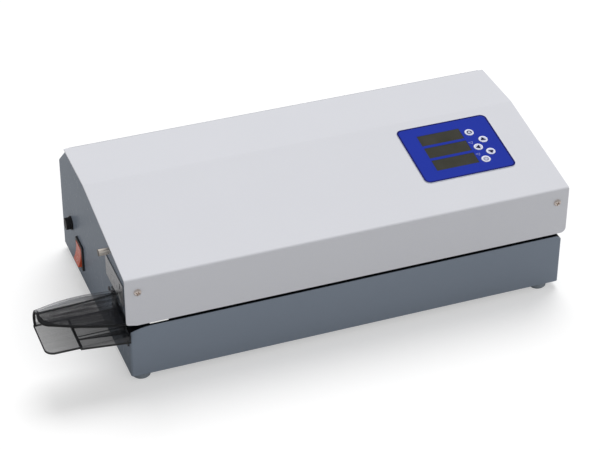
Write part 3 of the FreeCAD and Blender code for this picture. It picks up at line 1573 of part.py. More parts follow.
def pressure_rollers(fixed_pins):
    """Lower roller on a fixed pin, upper roller on a sprung arm."""
    low = S.lower_inside - S.roller_radius
    high = S.upper_inside + S.roller_radius
    roller("lower", low)
    roller("upper", high)
    fixed_pins.append(roller_pin(low, S.chassis_back, S.chassis_front))
    node("upper_roller_pin", roller_pin(high, S.arm_front + S.arm_thickness, S.arm_front))

    arm = start_body("pressure_arm")
    pivot_x, pivot_z = S.arm_pivot_side, S.arm_pivot_height
    wide = S.arm_radius
    tail = S.roller_side - S.arm_tail
    top = pivot_z + wide
    add(arm, "XZ", back(S.arm_front), back(S.arm_front + S.arm_thickness), outline(
        (along(pivot_x), up(top)), (along(tail), up(top)), (along(tail), up(pivot_z)),
        (along(S.roller_side - wide), up(high - wide)),
        (along(S.roller_side + wide), up(high - wide)),
        (along(pivot_x), up(pivot_z - wide)), (along(pivot_x + wide), up(pivot_z))))

    def any_corner(point, direction):
        return runs(direction, "Y")
    round_edges(arm, S.fold_radius, any_corner)
    cut(arm, "XZ", back(S.arm_front - S.arm_thickness), back(S.arm_front + 2 * S.arm_thickness),
        circle(along(pivot_x), up(pivot_z), S.shaft_radius + S.running_gap),
        circle(along(S.roller_side), up(high), S.roller_pin_radius))
    collar_start = S.arm_front + S.arm_thickness + S.spring_clear
    pin = rod("Y", along(pivot_x), back(S.arm_front - 2 * S.clip_thickness), up(pivot_z),
              S.chassis_back - S.arm_front + 2 * S.clip_thickness, S.shaft_radius)
    collar = rod("Y", along(pivot_x), back(collar_start), up(pivot_z),
                 S.chassis_front - collar_start, S.clip_radius)
    head = rod("Y", along(pivot_x),
               back(S.arm_front - 2 * S.clip_thickness - S.spring_clear), up(pivot_z),
               2 * S.clip_thickness, S.clip_radius)
    fixed_pins.append(joined(pin, collar, head))
    node("fixed_pins", group(*fixed_pins))
    spring_x = S.roller_side - S.arm_tail / 2
    spring_y = S.arm_front + S.arm_thickness / 2
    under = S.arm_spring_height
    shaped("arm_spring", coil(along(spring_x), back(spring_y), up(top), up(under),
                              S.spring_radius, S.spring_wire))


def power_supply():
    """Open power supply on spacers on the floor of the housing."""
    x, y = S.supply_side, S.supply_depth
    floor = S.sheet_wall
    low = floor + S.supply_lift
    board_top = low + S.board_thickness
    board = block(along(x - S.supply_width / 2), along(x + S.supply_width / 2),
                  back(y - S.supply_length / 2), back(y + S.supply_length / 2),
                  up(low), up(board_top))
    inset = 2 * S.spacer_radius
    spacers = [rod("Z", along(x + side), back(y + reach), up(floor), S.supply_lift,
                   S.spacer_radius)
               for side in (inset - S.supply_width / 2, S.supply_width / 2 - inset)
               for reach in (inset - S.supply_length / 2, S.supply_length / 2 - inset)]
    core_x = x - S.supply_width / 4
    core = block(along(core_x - S.supply_core_width / 2), along(core_x + S.supply_core_width / 2),
                 back(y - S.supply_core_length / 2), back(y + S.supply_core_length / 2),
                 up(board_top), up(board_top + S.supply_core_height))
    can_x = x + S.supply_width / 4
    cans = [rod("Z", along(can_x), back(y + side), up(board_top), S.supply_can_height,
                S.supply_can_radius) for side in (-S.supply_length / 4, S.supply_length / 4)]
    node("power_supply", group(board, core, *spacers, *cans))


def slot_parts():
    """White lead-in glide under the cover's lower edge and the fork sensor behind the infeed."""
    start = along(-S.glide_start)
    nose = back(S.glide_inset + S.glide_radius)
    thick = 2 * S.glide_radius
    node("infeed_glide", joined(
        rod("X", start, nose, up(S.slot_top - S.glide_radius), S.glide_length, S.glide_radius),
        block(start, start + S.glide_length, nose, back(S.glide_depth),
              up(S.slot_top - thick), up(S.slot_top))))
    x = -S.sensor_side
    half = S.sensor_width / 2
    low = S.pouch_height - S.sensor_height / 2
    fork = block(along(x - half), along(x + half), back(S.sensor_front), back(S.chassis_front),
                 up(low), up(low + S.sensor_height))
    gap = block(along(x - 2 * half), along(x + 2 * half), back(S.sensor_front - half),
                back(S.chassis_front - half), up(S.deck_height), up(S.slot_top))
    node("infeed_sensor", without(fork, gap))


base_housing()
top_cover()
feet()
infeed_tray()
infeed_hood()
small_screws()
adjuster_plate()
thumb_screw()
rocker_switch()
fuse_holder()
mains_inlet()
control_panel()
control_board()
chassis()
pins = drive_train()
heater_bars()
pressure_rollers(pins)
power_supply()
slot_parts()
doc.recompute()

for thing in doc.Objects:
    if "Invalid" in thing.State or "Error" in thing.State:
        raise RuntimeError(f"{thing.Label} did not build: {thing.State}")
for label, thing in NODES.items():
    if thing.Shape.isNull() or not thing.Shape.isValid() or not thing.Shape.Solids:
        raise RuntimeError(f"{label} is not a valid solid")

os.makedirs("parts", exist_ok=True)
for label, thing in NODES.items():
    thing.Shape.exportStep(f"parts/{label}.step")
print(len(NODES), "sub-parts written")
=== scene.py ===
"""Dresses the rotary heat sealer: a finish for every solid, finer outer pieces, floor, light and
camera."""

import json
import math

import bmesh
import bpy
import numpy as np
from mathutils import Matrix, Vector


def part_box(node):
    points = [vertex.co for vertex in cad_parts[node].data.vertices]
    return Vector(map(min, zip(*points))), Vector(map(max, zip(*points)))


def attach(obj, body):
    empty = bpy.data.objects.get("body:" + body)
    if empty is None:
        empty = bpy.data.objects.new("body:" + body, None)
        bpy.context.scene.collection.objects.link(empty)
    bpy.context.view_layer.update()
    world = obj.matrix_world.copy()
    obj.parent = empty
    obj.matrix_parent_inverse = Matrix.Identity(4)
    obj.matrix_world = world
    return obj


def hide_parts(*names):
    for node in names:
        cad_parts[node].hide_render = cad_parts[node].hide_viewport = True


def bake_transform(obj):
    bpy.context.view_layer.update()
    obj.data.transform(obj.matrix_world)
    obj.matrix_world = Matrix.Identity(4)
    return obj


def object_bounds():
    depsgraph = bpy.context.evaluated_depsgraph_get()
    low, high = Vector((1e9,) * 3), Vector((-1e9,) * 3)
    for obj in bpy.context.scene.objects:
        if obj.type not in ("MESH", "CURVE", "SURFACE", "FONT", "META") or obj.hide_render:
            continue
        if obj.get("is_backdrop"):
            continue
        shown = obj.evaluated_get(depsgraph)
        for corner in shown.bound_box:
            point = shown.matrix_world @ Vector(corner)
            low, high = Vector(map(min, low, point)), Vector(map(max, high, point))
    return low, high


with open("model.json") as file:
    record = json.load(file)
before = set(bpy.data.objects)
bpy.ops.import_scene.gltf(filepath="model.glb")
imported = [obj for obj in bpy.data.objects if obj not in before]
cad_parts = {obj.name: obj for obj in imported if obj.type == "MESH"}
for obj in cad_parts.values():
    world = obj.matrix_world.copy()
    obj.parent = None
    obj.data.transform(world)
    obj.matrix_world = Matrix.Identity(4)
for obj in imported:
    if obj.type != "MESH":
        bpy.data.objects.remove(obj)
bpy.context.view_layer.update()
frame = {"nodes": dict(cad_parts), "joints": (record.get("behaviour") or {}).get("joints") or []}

MM = 0.001
WHITE = (1.0, 1.0, 1.0)
EVEN = (1.0, 1.0, 1.0)

# Places of the housing: its front, its deck, and the corner from which the guide is measured

cover_low, cover_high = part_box("top_cover")
FRONT = cover_low.y
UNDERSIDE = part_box("rubber_feet")[1].z
DECK_HEIGHT = 61.1 * MM
DECK = UNDERSIDE + DECK_HEIGHT
CORNER_PLACE = (cover_low.x, FRONT, UNDERSIDE)
CORNER = np.array(CORNER_PLACE)

# Places on the sloped face, from the keys' stroke and the panel's own solid

stroke = next(joint for joint in frame["joints"] if joint["name"] == "up_key_press")["axis"]
SIN_LEAN, COS_LEAN = stroke[1], -stroke[2]
panel_low, panel_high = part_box("panel_overlay")
PANEL_WIDTH = panel_high.x - panel_low.x
PANEL_TALL = 89.6 * MM
PANEL_CORNER = 7.0 * MM

# The guide, in mm from its corner of the housing: along the feed, into the housing, and up. Its
# lip runs to the front in a bowed line from where the rounded corner ends

GUIDE_LEFT = -86.0
HOOD_LENGTH = 87.6
HOOD_FOOT = 57.1
ROUND_X, ROUND_Y, ROUND_RADIUS = -74.0, 29.09, 13.0
LIP_LEFT, LIP_LENGTH = -77.93, 80.53
LIP_DEPTH, LIP_BOW, LIP_COSINE = 16.70, 8.87, 0.979

# Its tab on the wall, from the same corner, and the springs: both in metres

TAB_LOW = MM * np.array([1.15, 44.6, HOOD_FOOT])
TAB_HIGH = MM * np.array([3.1, 60.0, 78.0])
TAB_CORNER = 3.0 * MM
SPRING_WIRE = 0.6 * MM
SPRING_RADIUS = 4.4 * MM
SPRING_TURNS = 5
SEAT_REACH = 0.25 * MM


# Shader values: arithmetic on one adds the Math nodes for it

class Value:
    """What a shader socket gives. Arithmetic on it adds Math nodes and gives the result."""

    def __init__(self, nodes, socket):
        self.nodes = nodes
        self.socket = socket

    def __add__(self, other):
        return self.nodes.number("ADD", self, other)

    __radd__ = __add__

    def __sub__(self, other):
        return self.nodes.number("SUBTRACT", self, other)

    def __rsub__(self, other):
        return self.nodes.number("SUBTRACT", other, self)

    def __mul__(self, other):
        return self.nodes.number("MULTIPLY", self, other)

    __rmul__ = __mul__

    def __abs__(self):
        return self.nodes.number("ABSOLUTE", self)

    def over(self, other):
        """The larger of the two."""
        return self.nodes.number("MAXIMUM", self, other)

    def under(self, other):
        """The smaller of the two."""
        return self.nodes.number("MINIMUM", self, other)

    def hypot(self, other):
        """The length of a line that reaches this far and the other value across it."""
        return self.nodes.number("SQRT", self * self + other * other)

    def wave(self, length):
        """A sine of the given length, from -1 to 1."""
        return self.nodes.number("SINE", self * (2 * math.pi / length))

    def ramp(self, start, length):
        """0 up to the start, 1 from a length past it on, and straight between."""
        return ((self - start) * (1 / length)).over(0.0).under(1.0)

    def inside(self, edge, soft=0.1 * MM):
        """1 where the value is less than the edge, 0 where it is more, with a soft step."""
        return self.nodes.node("MapRange", {"interpolation_type": "SMOOTHSTEP"}, {
            "Value": self, "From Min": edge - soft, "From Max": edge + soft,
            "To Min": 1.0, "To Max": 0.0})[0]


class Outputs:
    """The outputs of a node, each given as a Value."""

    def __init__(self, nodes, node):
        self.nodes = nodes
        self.node = node

    def __getitem__(self, name):
        return Value(self.nodes, self.node.outputs[name])


class Nodes:
    """Adds nodes to one tree, a material's or the world's."""

    def __init__(self, tree):
        self.tree = tree

    def node(self, kind, settings={}, inputs={}):
        """Adds a node. Its settings are set first, then the values or links of its sockets."""
        node = self.tree.nodes.new("ShaderNode" + kind)
        for name, setting in settings.items():
            setattr(node, name, setting)
        for name, value in inputs.items():
            self.feed(node.inputs[name], value)
        return Outputs(self, node)

    def feed(self, socket, value):
        """Links a Value to a socket, or sets a plain number or colour on it."""
        if isinstance(value, Value):
            self.tree.links.new(value.socket, socket)
        elif isinstance(value, tuple) and socket.type == "RGBA":
            socket.default_value = (*value, 1.0)
        else:
            socket.default_value = value

    def number(self, operation, *values):
        return self.node("Math", {"operation": operation}, dict(enumerate(values)))[0]


class Finish(Nodes):
    """One material. Its pattern is laid on the object coordinates, which are the row frame's."""

    def __init__(self, name, **sockets):
        self.material = bpy.data.materials.new(name)
        self.material.use_nodes = True
        super().__init__(self.material.node_tree)
        self.shader = self.tree.nodes["Principled BSDF"]
        self.place = self.node("TexCoord")["Object"]
        parts = self.node("SeparateXYZ", {}, {0: self.place})
        self.x, self.y, self.z = parts["X"], parts["Y"], parts["Z"]
        for socket, setting in sockets.items():
            self.set(socket.replace("_", " "), setting)

    def set(self, name, value):
        self.feed(self.shader.inputs[name], value)

    def scale(self, colour, factor):
        """A colour made darker or paler by a factor."""
        return self.node("VectorMath", {"operation": "SCALE"}, {0: colour, "Scale": factor})[0]

    def mix(self, share, first, second):
        """The first colour where share is 0, the second where it is 1."""
        return self.node("Mix", {"data_type": "RGBA"}, {0: share, 6: first, 7: second})[2]

    def noise(self, size, detail=1.0, stretch=EVEN):
        """Cloudy noise from 0 to 1 whose grains are about that size, drawn out along an axis."""
        place = self.place
        if stretch != EVEN:
            shares = tuple(1 / share for share in stretch)
            place = self.node("VectorMath", {"operation": "MULTIPLY"}, {0: place, 1: shares})[0]
        return self.node("TexNoise", {}, {"Vector": place, "Scale": 1 / size,
                                          "Detail": detail})["Fac"]

    def from_corner(self):
        """Coordinates counted from the corner that the guide is measured from."""
        return self.x - CORNER_PLACE[0], self.y - CORNER_PLACE[1], self.z - CORNER_PLACE[2]

    def bump(self, height, depth):
        """Raises the surface by height, from 0 to 1, times depth."""
        raised = self.node("Bump", {}, {"Height": height, "Distance": depth})
        self.set("Normal", raised["Normal"])

    def wear(self, size):
        """A faint drift of tone about 0."""
        return self.noise(size, 2.0) - 0.5


def tone(red, green, blue):
    """A colour given as it shows on a screen, 0 to 255, made linear."""
    shown = np.array([red, green, blue]) / 255
    return tuple(float(c) for c in np.where(shown > 0.04, ((shown + 0.055) / 1.055) ** 2.4,
                                            shown / 12.92))


# Surfaces worked out from formulas

def merged_mesh(name, grids):
    """One closed mesh from grids of points. Neighbours in a grid make quads, points that coincide
    become one, and the faces are turned outwards."""
    points, quads, first = [], [], 0
    for grid in grids:
        rows, columns = grid.shape[:2]
        index = first + np.arange(rows * columns).reshape(rows, columns)
        points.append(grid.reshape(-1, 3))
        quads.append(np.stack([index[:-1, :-1], index[1:, :-1], index[1:, 1:], index[:-1, 1:]],
                              axis=-1).reshape(-1, 4))
        first += rows * columns
    mesh = bpy.data.meshes.new(name)
    mesh.from_pydata(np.concatenate(points).tolist(), [], np.concatenate(quads).tolist())
    work = bmesh.new()
    work.from_mesh(mesh)
    bmesh.ops.remove_doubles(work, verts=work.verts, dist=0.002 * MM)
    bmesh.ops.recalc_face_normals(work, faces=work.faces)
    work.to_mesh(mesh)
    work.free()
    mesh.update()
    return mesh


def piece(mesh, finish, body, replaced):
    """Shows a mesh as a piece of its own, on its body, if it has one, and in place of its solid."""
    sharp = math.radians(35.0)
    thing = bpy.data.objects.new(mesh.name, mesh)
    bpy.context.scene.collection.objects.link(thing)
    mesh.materials.append(finish.material)
    mesh.shade_smooth()
    mesh.set_sharp_from_angle(angle=sharp)
    if body:
        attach(thing, body)
    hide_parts(replaced)
    return thing


def on_axis(along, radius, theta, origin, axis):
    """Points of a turned shape: origin + along * axis + radius (cos theta, sin theta) across it."""
    axis = Vector(axis).normalized()
    side = axis.orthogonal().normalized()
    other = axis.cross(side)
    turn = np.stack(np.broadcast_arrays(along, radius * np.cos(theta), radius * np.sin(theta)), -1)
    return turn @ np.array([axis, side, other]) + np.array(origin)


def spline(knots, points, t):
    """Natural cubic spline through points at those knots, at every t.

    With h the steps between knots, the bends m solve h[k-1] m[k-1] + 2 (h[k-1] + h[k]) m[k] +
    h[k] m[k+1] = 6 (rise[k] / h[k] - rise[k-1] / h[k-1]), and are zero at both ends. At f of the
    step from k to k+1, with g = 1 - f, the value is g p[k] + f p[k+1] + h[k]^2 / 6 times
    ((g^3 - g) m[k] + (f^3 - f) m[k+1])."""
    knots, points = np.asarray(knots, float), np.asarray(points, float)
    h = np.diff(knots)
    lean = np.diff(points) / h
    count = len(points)
    system = np.eye(count)
    middle = np.arange(1, count - 1)
    system[middle, middle - 1] = h[:-1]
    system[middle, middle] = 2 * (h[:-1] + h[1:])
    system[middle, middle + 1] = h[1:]
    bend = np.linalg.solve(system, np.concatenate([[0], 6 * np.diff(lean), [0]]))
    k = np.clip(np.searchsorted(knots, t, side="right") - 1, 0, count - 2)
    f = (t - knots[k]) / h[k]
    g = 1 - f
    return (g * points[k] + f * points[k + 1]
            + h[k] ** 2 / 6 * ((g ** 3 - g) * bend[k] + (f ** 3 - f) * bend[k + 1]))


def under_edge(value, edge, flank):
    """1 where a value is less than the edge by a flank or more, 0 where it is past the edge."""
    return np.clip((edge - value) / flank, 0, 1)


def pan_screw(origin, axis, head, height, shank, length):
    """Grids of a pan-head screw with a cross recess, its seat at origin and its head along axis.

    Head: rise = height (1 - s^5)^0.45 at radius s * head, less a cross whose arms are 0.26 head
    wide and 1.2 head long, 0.6 height deep. Shank: radius = shank (0.93 + 0.07 cos(theta - 2 pi
    along / pitch)), which winds a thread down it."""
    cross_turn, pitch, tip_radius = 0.4, 0.35 * shank, 0.8 * shank
    theta = np.linspace(0, 2 * math.pi, 65)[None, :]
    s = np.linspace(0, 1, 31)[:, None]
    a = np.abs(s * np.cos(theta - cross_turn))
    b = np.abs(s * np.sin(theta - cross_turn))
    arm = under_edge(np.minimum(a, b), 0.15, 0.04) * under_edge(np.maximum(a, b), 0.62, 0.06)
    rise = height * (1 - s ** 5) ** 0.45 - 0.6 * height * arm
    top = on_axis(rise, head * s + 0 * theta, theta, origin, axis)
    flat = np.zeros((2, 1)) + 0 * theta
    under = on_axis(flat, np.array([[head], [shank]]) + flat, theta, origin, axis)
    along = np.linspace(0, length, 41)[:, None]
    thread = shank * (0.93 + 0.07 * np.cos(theta - 2 * math.pi * along / pitch))
    thread = np.where(along < 0.02 * length, shank, thread)
    thread = np.where(along > 0.98 * length, tip_radius, thread)
    stem = on_axis(-along, thread, theta, origin, axis)
    tip = on_axis(flat - length, np.array([[tip_radius], [0.0]]) + flat, theta, origin, axis)
    return [top, under, stem, tip]


def fuse_cap_piece():
    """Turning cap: radius = r (0.95 + 0.025 s) (1 + 0.025 cos(26 theta)) from its front to the rim,
    a domed front (rise 0.8 mm) with a straight slot, and its plain stem."""
    rise, slot_depth, stem_length, stem_share = 0.8 * MM, 1.0 * MM, 11 * MM, 0.6
    face, bevel, flare = 0.89, 0.06, 0.025
    low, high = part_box("fuse_cap")
    radius = (high.y - low.y) / 2
    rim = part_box("fuse_holder")[0].x
    origin = (rim, (low.y + high.y) / 2, (low.z + high.z) / 2)
    length = rim - low.x
    theta = np.linspace(0, 2 * math.pi, 209)[None, :]
    flutes = 1 + 0.025 * np.cos(26 * theta)

    def grid(along, across):
        return on_axis(along, across, theta, origin, (-1, 0, 0))

    s = np.linspace(0, 1, 25)[:, None]
    slot = under_edge(np.abs(s * np.sin(theta)), 0.13, 0.03) * under_edge(s, 0.72, 0.04)
    dome = rise * (1 - s ** 2)
    front = grid(length - rise + dome - slot_depth * slot,
                 face * radius * s * (1 + s ** 6 * (flutes - 1)))
    turn = np.linspace(0, math.pi / 2, 7)[:, None]
    edge = grid(length - rise - bevel * radius * (1 - np.cos(turn)),
                radius * (face + bevel * np.sin(turn)) * flutes)
    share = np.linspace(0, 1, 9)[:, None]
    side = grid((length - rise - bevel * radius) * (1 - share),
                radius * (face + bevel + flare * share) * flutes)
    back = grid(np.zeros((2, 1)) + 0 * theta,
                np.concatenate([(face + bevel + flare) * radius * flutes,
                                stem_share * radius + 0 * theta]))
    stem = grid(0 * theta - np.array([[0.0], [1.0], [1.0]]) * stem_length,
                np.array([[1.0], [1.0], [0.0]]) * stem_share * radius + 0 * theta)
    return merged_mesh("fuse_cap_fluted", [front, edge, side, back, stem])


def hood_piece():
    """Outer face of the guide's hood, thin sheet, carried along the feed.

    At a place x along the feed its section runs up the back, over the crown and down the roof:
    depth y(t) and height 57.1 + (crown(x) - 57.1) climb(t) + lift(t), all splines in t. It ends at
    the lip, where y(t) is the depth of a slanted, slightly bowed line whose left corner is rounded
    to 13 mm."""
    share = np.linspace(0, 1, 97)[:, None]
    x = GUIDE_LEFT + HOOD_LENGTH * share ** 1.25
    crown = spline((GUIDE_LEFT, -62.0, -38.0, 1.6), (84.5, 89.4, 91.0, 88.0), x)
    girth = (0.0, 0.111, 0.277, 0.480, 0.744, 1.0)
    depths = (45.4, 48.4, 45.8, 35.0, 17.5, 0.0)
    climb = (0, 0.25, 0.64, 1.0, 0.5, 0)
    lift = (0, 0, 0, 0, 5.2, 11.6)
    along = (x - LIP_LEFT) / LIP_LENGTH
    line = (LIP_DEPTH - LIP_BOW * along) * (1 - along)
    arc = ROUND_Y - np.sqrt(np.clip(ROUND_RADIUS ** 2 - (x - ROUND_X) ** 2, 0, None))
    lip = np.where(x < LIP_LEFT, arc, line)
    t = np.linspace(0, 1, 2001)
    falling = spline(girth, depths, t)
    past = int(falling.argmax())
    end = np.interp(-lip, -falling[past:], t[past:])
    t = end * np.linspace(0, 1, 61)[None, :]
    y = spline(girth, depths, t)
    z = HOOD_FOOT + (crown - HOOD_FOOT) * spline(girth, climb, t) + spline(girth, lift, t)
    grid = np.stack(np.broadcast_arrays(x, y, z), -1)
    from_mouth = x - (ROUND_X - ROUND_RADIUS)
    from_round = ROUND_RADIUS - np.hypot(x - ROUND_X, y - ROUND_Y)
    rim = np.where(y < ROUND_Y, (y - line) * LIP_COSINE, from_mouth)
    rim = np.where((x < LIP_LEFT) & (y < ROUND_Y), from_round, rim)
    rows, columns = rim.shape
    index = np.arange(rows * columns).reshape(rows, columns)
    quads = np.stack([index[:-1, :-1], index[:-1, 1:], index[1:, 1:], index[1:, :-1]], -1)
    points = (CORNER + MM * grid).reshape(-1, 3)
    mesh = bpy.data.meshes.new("infeed_hood_shell")
    mesh.from_pydata(points.tolist(), [], quads.reshape(-1, 4).tolist())
    for name, values in (("rim", rim * MM), ("girth", t + 0 * x)):
        mesh.attributes.new(name, "FLOAT", "POINT").data.foreach_set("value", values.ravel())
    return mesh


def rounded_plate(low, high, corner, edge):
    """Grid of a plate that stands across the feed, its outline rounded, its edges rolled.

    Each ring is the rounded rectangle, inset by e, at its own x: e runs from edge to 0 and back
    while x runs over the thickness, on quarter circles of that edge radius."""
    turn = np.linspace(0, math.pi / 2, 5)
    inset = np.concatenate([[corner], edge * (1 - np.sin(turn)), edge * (1 - np.sin(turn[::-1])),
                            [corner]])[:, None]
    x = np.concatenate([[low[0]], low[0] + edge * (1 - np.cos(turn)),
                        high[0] - edge * (1 - np.cos(turn[::-1])), [high[0]]])[:, None]
    theta = np.concatenate([np.linspace(0, 90, 9) + start for start in (0, 90, 180, 270)])
    side = np.repeat([1, -1, -1, 1], 9)
    top = np.repeat([1, 1, -1, -1], 9)
    theta, side, top = (np.append(values, values[0]) for values in (np.radians(theta), side, top))
    y = (low[1] + high[1]) / 2 + side * ((high[1] - low[1]) / 2 - corner) + (
        corner - inset) * np.cos(theta)
    z = (low[2] + high[2]) / 2 + top * ((high[2] - low[2]) / 2 - corner) + (
        corner - inset) * np.sin(theta)
    ring = np.stack(np.broadcast_arrays(x, y, z), -1)
    cap_low = np.stack([ring[0], np.broadcast_to(ring[0].mean(axis=0), ring[0].shape)])
    cap_high = np.stack([ring[-1], np.broadcast_to(ring[-1].mean(axis=0), ring[-1].shape)])
    return [ring, cap_low, cap_high]


def spring(x, y, low, high):
    """A compression spring's wire between two seats, as a closed tube round (x, y).

    The wire's middle rises by one wire's width over the first turn and over the last, and evenly
    over the turns between. The tube's points are middle + wire * (cos a * outward + sin a * up),
    and each end closes on the middle."""
    turn = np.linspace(0.0, SPRING_TURNS, 32 * SPRING_TURNS + 1)
    level = np.interp(turn, (0.0, 1.0, SPRING_TURNS - 1.0, SPRING_TURNS),
                      (low + SPRING_WIRE, low + 3 * SPRING_WIRE,
                       high - 3 * SPRING_WIRE, high - SPRING_WIRE))
    still = np.zeros_like(turn)
    outward = np.stack([np.cos(2 * np.pi * turn), np.sin(2 * np.pi * turn), still], -1)
    middle = np.stack([still + x, still + y, level], -1) + SPRING_RADIUS * outward
    around = np.linspace(0.0, 2 * np.pi, 13)[:, None]
    tube = middle[:, None] + SPRING_WIRE * (np.cos(around) * outward[:, None]
                                            + np.sin(around) * np.array([0.0, 0.0, 1.0]))
    ends = np.repeat(middle[[0, -1], None], len(around), axis=1)
    return np.concatenate([ends[:1], tube, ends[1:]])


def soften(node, width):
    """Rounds a solid's edges where its faces meet at more than 40 degrees."""
    solid = frame["nodes"][node]
    solid.modifiers.new("weld", "WELD").merge_threshold = 0.005 * MM
    rounding = solid.modifiers.new("rounding", "BEVEL")
    rounding.width = width
    rounding.segments = 2
    rounding.limit_method = "ANGLE"
    rounding.angle_limit = math.radians(40.0)
    rounding.harden_normals = True


# Finishes

def powder_coat(name, colour, roughness, gloss, pebble, depth, dark=None):
    """Powder coat: a fine pebbled skin, a little uneven in tone and gloss. Where a mask is given,
    such as inside the slot, shade is painted in as near black."""
    finish = Finish(name, Specular_IOR_Level=gloss)
    grain = finish.noise(pebble, 2.0)
    swell = finish.noise(6 * pebble, 1.0)
    drift = finish.wear(size=90 * MM)
    paint = finish.scale(colour, 1 + 0.03 * drift + 0.06 * (grain - 0.5))
    if dark:
        # Painted shade: near black where the mask is, for the shade deep in the slot
        painted_shade_black = (0.006, 0.007, 0.009)
        paint = finish.mix(dark(finish), paint, painted_shade_black)
    finish.set("Base Color", paint)
    finish.set("Roughness", roughness + 0.10 * (swell - 0.5) + 0.08 * (grain - 0.5))
    finish.bump(0.7 * grain + 0.3 * swell, depth)
    return finish


def slot_inside(finish):
    """1 on the deck and walls of the through slot, within the housing's outer faces: where painted
    shade goes.
    """
    slot_middle, half_depth, half_height, side_wall = 26.0 * MM, 24.8 * MM, 6.6 * MM, 2.4 * MM
    deep = abs(finish.y - FRONT - slot_middle).inside(half_depth, 0.3 * MM)
    tall = abs(finish.z - DECK).inside(half_height, 0.2 * MM)
    wide = abs(finish.x - (cover_low.x + cover_high.x) / 2).inside(
        (cover_high.x - cover_low.x) / 2 - side_wall, 0.2 * MM)
    return deep * tall * wide


def moulded_plastic(name, colour, roughness=0.42):
    """Moulded plastic: spark-eroded grain and faint flow marks."""
    finish = Finish(name)
    grain = finish.noise(0.35 * MM, 2.0)
    flow = finish.noise(9 * MM, 2.0, stretch=(1.0, 1.0, 3.0))
    finish.set("Base Color", finish.scale(colour, 0.92 + 0.16 * flow))
    finish.set("Roughness", roughness + 0.15 * (grain - 0.5))
    finish.bump(grain, 0.02 * MM)
    return finish


def soft_rubber(name, colour):
    """Matt rubber: dusty, with a fine grain."""
    finish = Finish(name, Specular_IOR_Level=0.35)
    grain = finish.noise(0.5 * MM, 3.0)
    dust = finish.noise(6 * MM, 3.0)
    dusty = tuple(0.06 + 0.9 * c for c in colour)
    finish.set("Base Color", finish.mix(dust * 0.35, colour, dusty))
    finish.set("Roughness", 0.72 + 0.2 * (grain - 0.5))
    finish.bump(grain, 0.05 * MM)
    return finish


def brushed(name, colour, roughness, along=(30.0, 1.0, 1.0), line=0.25 * MM):
    """Metal with fine lines drawn out along one axis, and a slight stain."""
    finish = Finish(name, Metallic=1.0)
    lines = finish.noise(line, 2.0, stretch=along)
    stain = finish.wear(size=14 * MM)
    finish.set("Base Color", finish.scale(colour, 1 + 0.22 * (lines - 0.5) + 0.10 * stain))
    finish.set("Roughness", roughness + 0.25 * (lines - 0.5) + 0.12 * stain)
    finish.bump(lines, 0.006 * MM)
    return finish


def knurled(name, colour):
    """Plated knob: ridges along the feed with pale painted highlight stripes, and a darker end
    face.
    """
    knob_reach = 9.3 * MM
    finish = Finish(name, Metallic=0.35)
    x = finish.from_corner()[0]
    ridges = finish.noise(0.9 * MM, 1.0, stretch=(30.0, 1.0, 1.0))
    end = (x + knob_reach).inside(0.0, 0.1 * MM)
    # Painted highlight: the ridges swing from dark to pale in colour, for the glints along the
    # knurl
    ridge_highlights = finish.scale(colour, 0.2 + 1.6 * ridges)
    finish.set("Base Color", finish.mix(end, ridge_highlights, tone(70, 64, 60)))
    finish.set("Roughness", 0.36 + 0.2 * (ridges - 0.5))
    finish.bump(ridges, 0.05 * MM)
    return finish


def turned(name, colour, roughness=0.28):
    """Metal turned about an axis along Y: tool marks that follow the turning."""
    return brushed(name, colour, roughness, along=(40.0, 1.0, 40.0), line=0.2 * MM)


def passivated(name, colour):
    """Zinc-plated sheet: cloudy tone and a soft sheen."""
    finish = Finish(name, Metallic=0.9)
    cloud = finish.noise(11 * MM, 4.0)
    fine = finish.noise(0.6 * MM, 2.0)
    finish.set("Base Color", finish.scale(colour, 0.85 + 0.3 * cloud))
    finish.set("Roughness", 0.36 + 0.18 * cloud + 0.06 * (fine - 0.5))
    finish.bump(fine, 0.01 * MM)
    return finish


def woven_belt(name, colour):
    """Coated glass cloth: a plain weave under a thin slick skin."""
    finish = Finish(name, Coat_Weight=0.25, Coat_Roughness=0.35)
    warp = finish.x.wave(0.9 * MM)
    weft = finish.y.wave(0.9 * MM)
    weave = 0.5 + 0.5 * warp * weft
    stain = finish.noise(12 * MM, 3.0)
    finish.set("Base Color", finish.scale(colour, 0.75 + 0.35 * weave + 0.3 * (stain - 0.5)))
    finish.set("Roughness", 0.5 + 0.15 * (stain - 0.5))
    finish.bump(weave, 0.06 * MM)
    return finish


def slope_of(node):
    """Place on the cover's slope about the middle of a node: across, up the slope, and off it."""
    low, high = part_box(node)
    middle = (low + high) / 2

    def coordinates(finish):
        across = finish.x - middle.x
        reach = (finish.y - middle.y) * COS_LEAN + (finish.z - middle.z) * SIN_LEAN
        off = (finish.z - middle.z) * COS_LEAN - (finish.y - middle.y) * SIN_LEAN
        return across, reach, off
    return coordinates


def rounded_box(across, reach, width, tall, corner):
    """Distance outside a rectangle with rounded corners, negative inside it."""
    over_across = abs(across) - (width / 2 - corner)
    over_reach = abs(reach) - (tall / 2 - corner)
    length = over_across.over(0.0).hypot(over_reach.over(0.0))
    return length + over_across.over(over_reach).under(0.0) - corner


def arrowhead(across, reach, degrees, ahead, behind, half):
    """Distance outside an isosceles triangle that points that way, negative inside it."""
    cosine = math.cos(math.radians(degrees))
    sine = math.sin(math.radians(degrees))
    forward = across * cosine + reach * sine
    side = abs(reach * cosine - across * sine)
    length = math.hypot(ahead + behind, half)
    flank = (side * ((ahead + behind) / length)) - (ahead - forward) * (half / length)
    return flank.over(-1 * forward - behind)


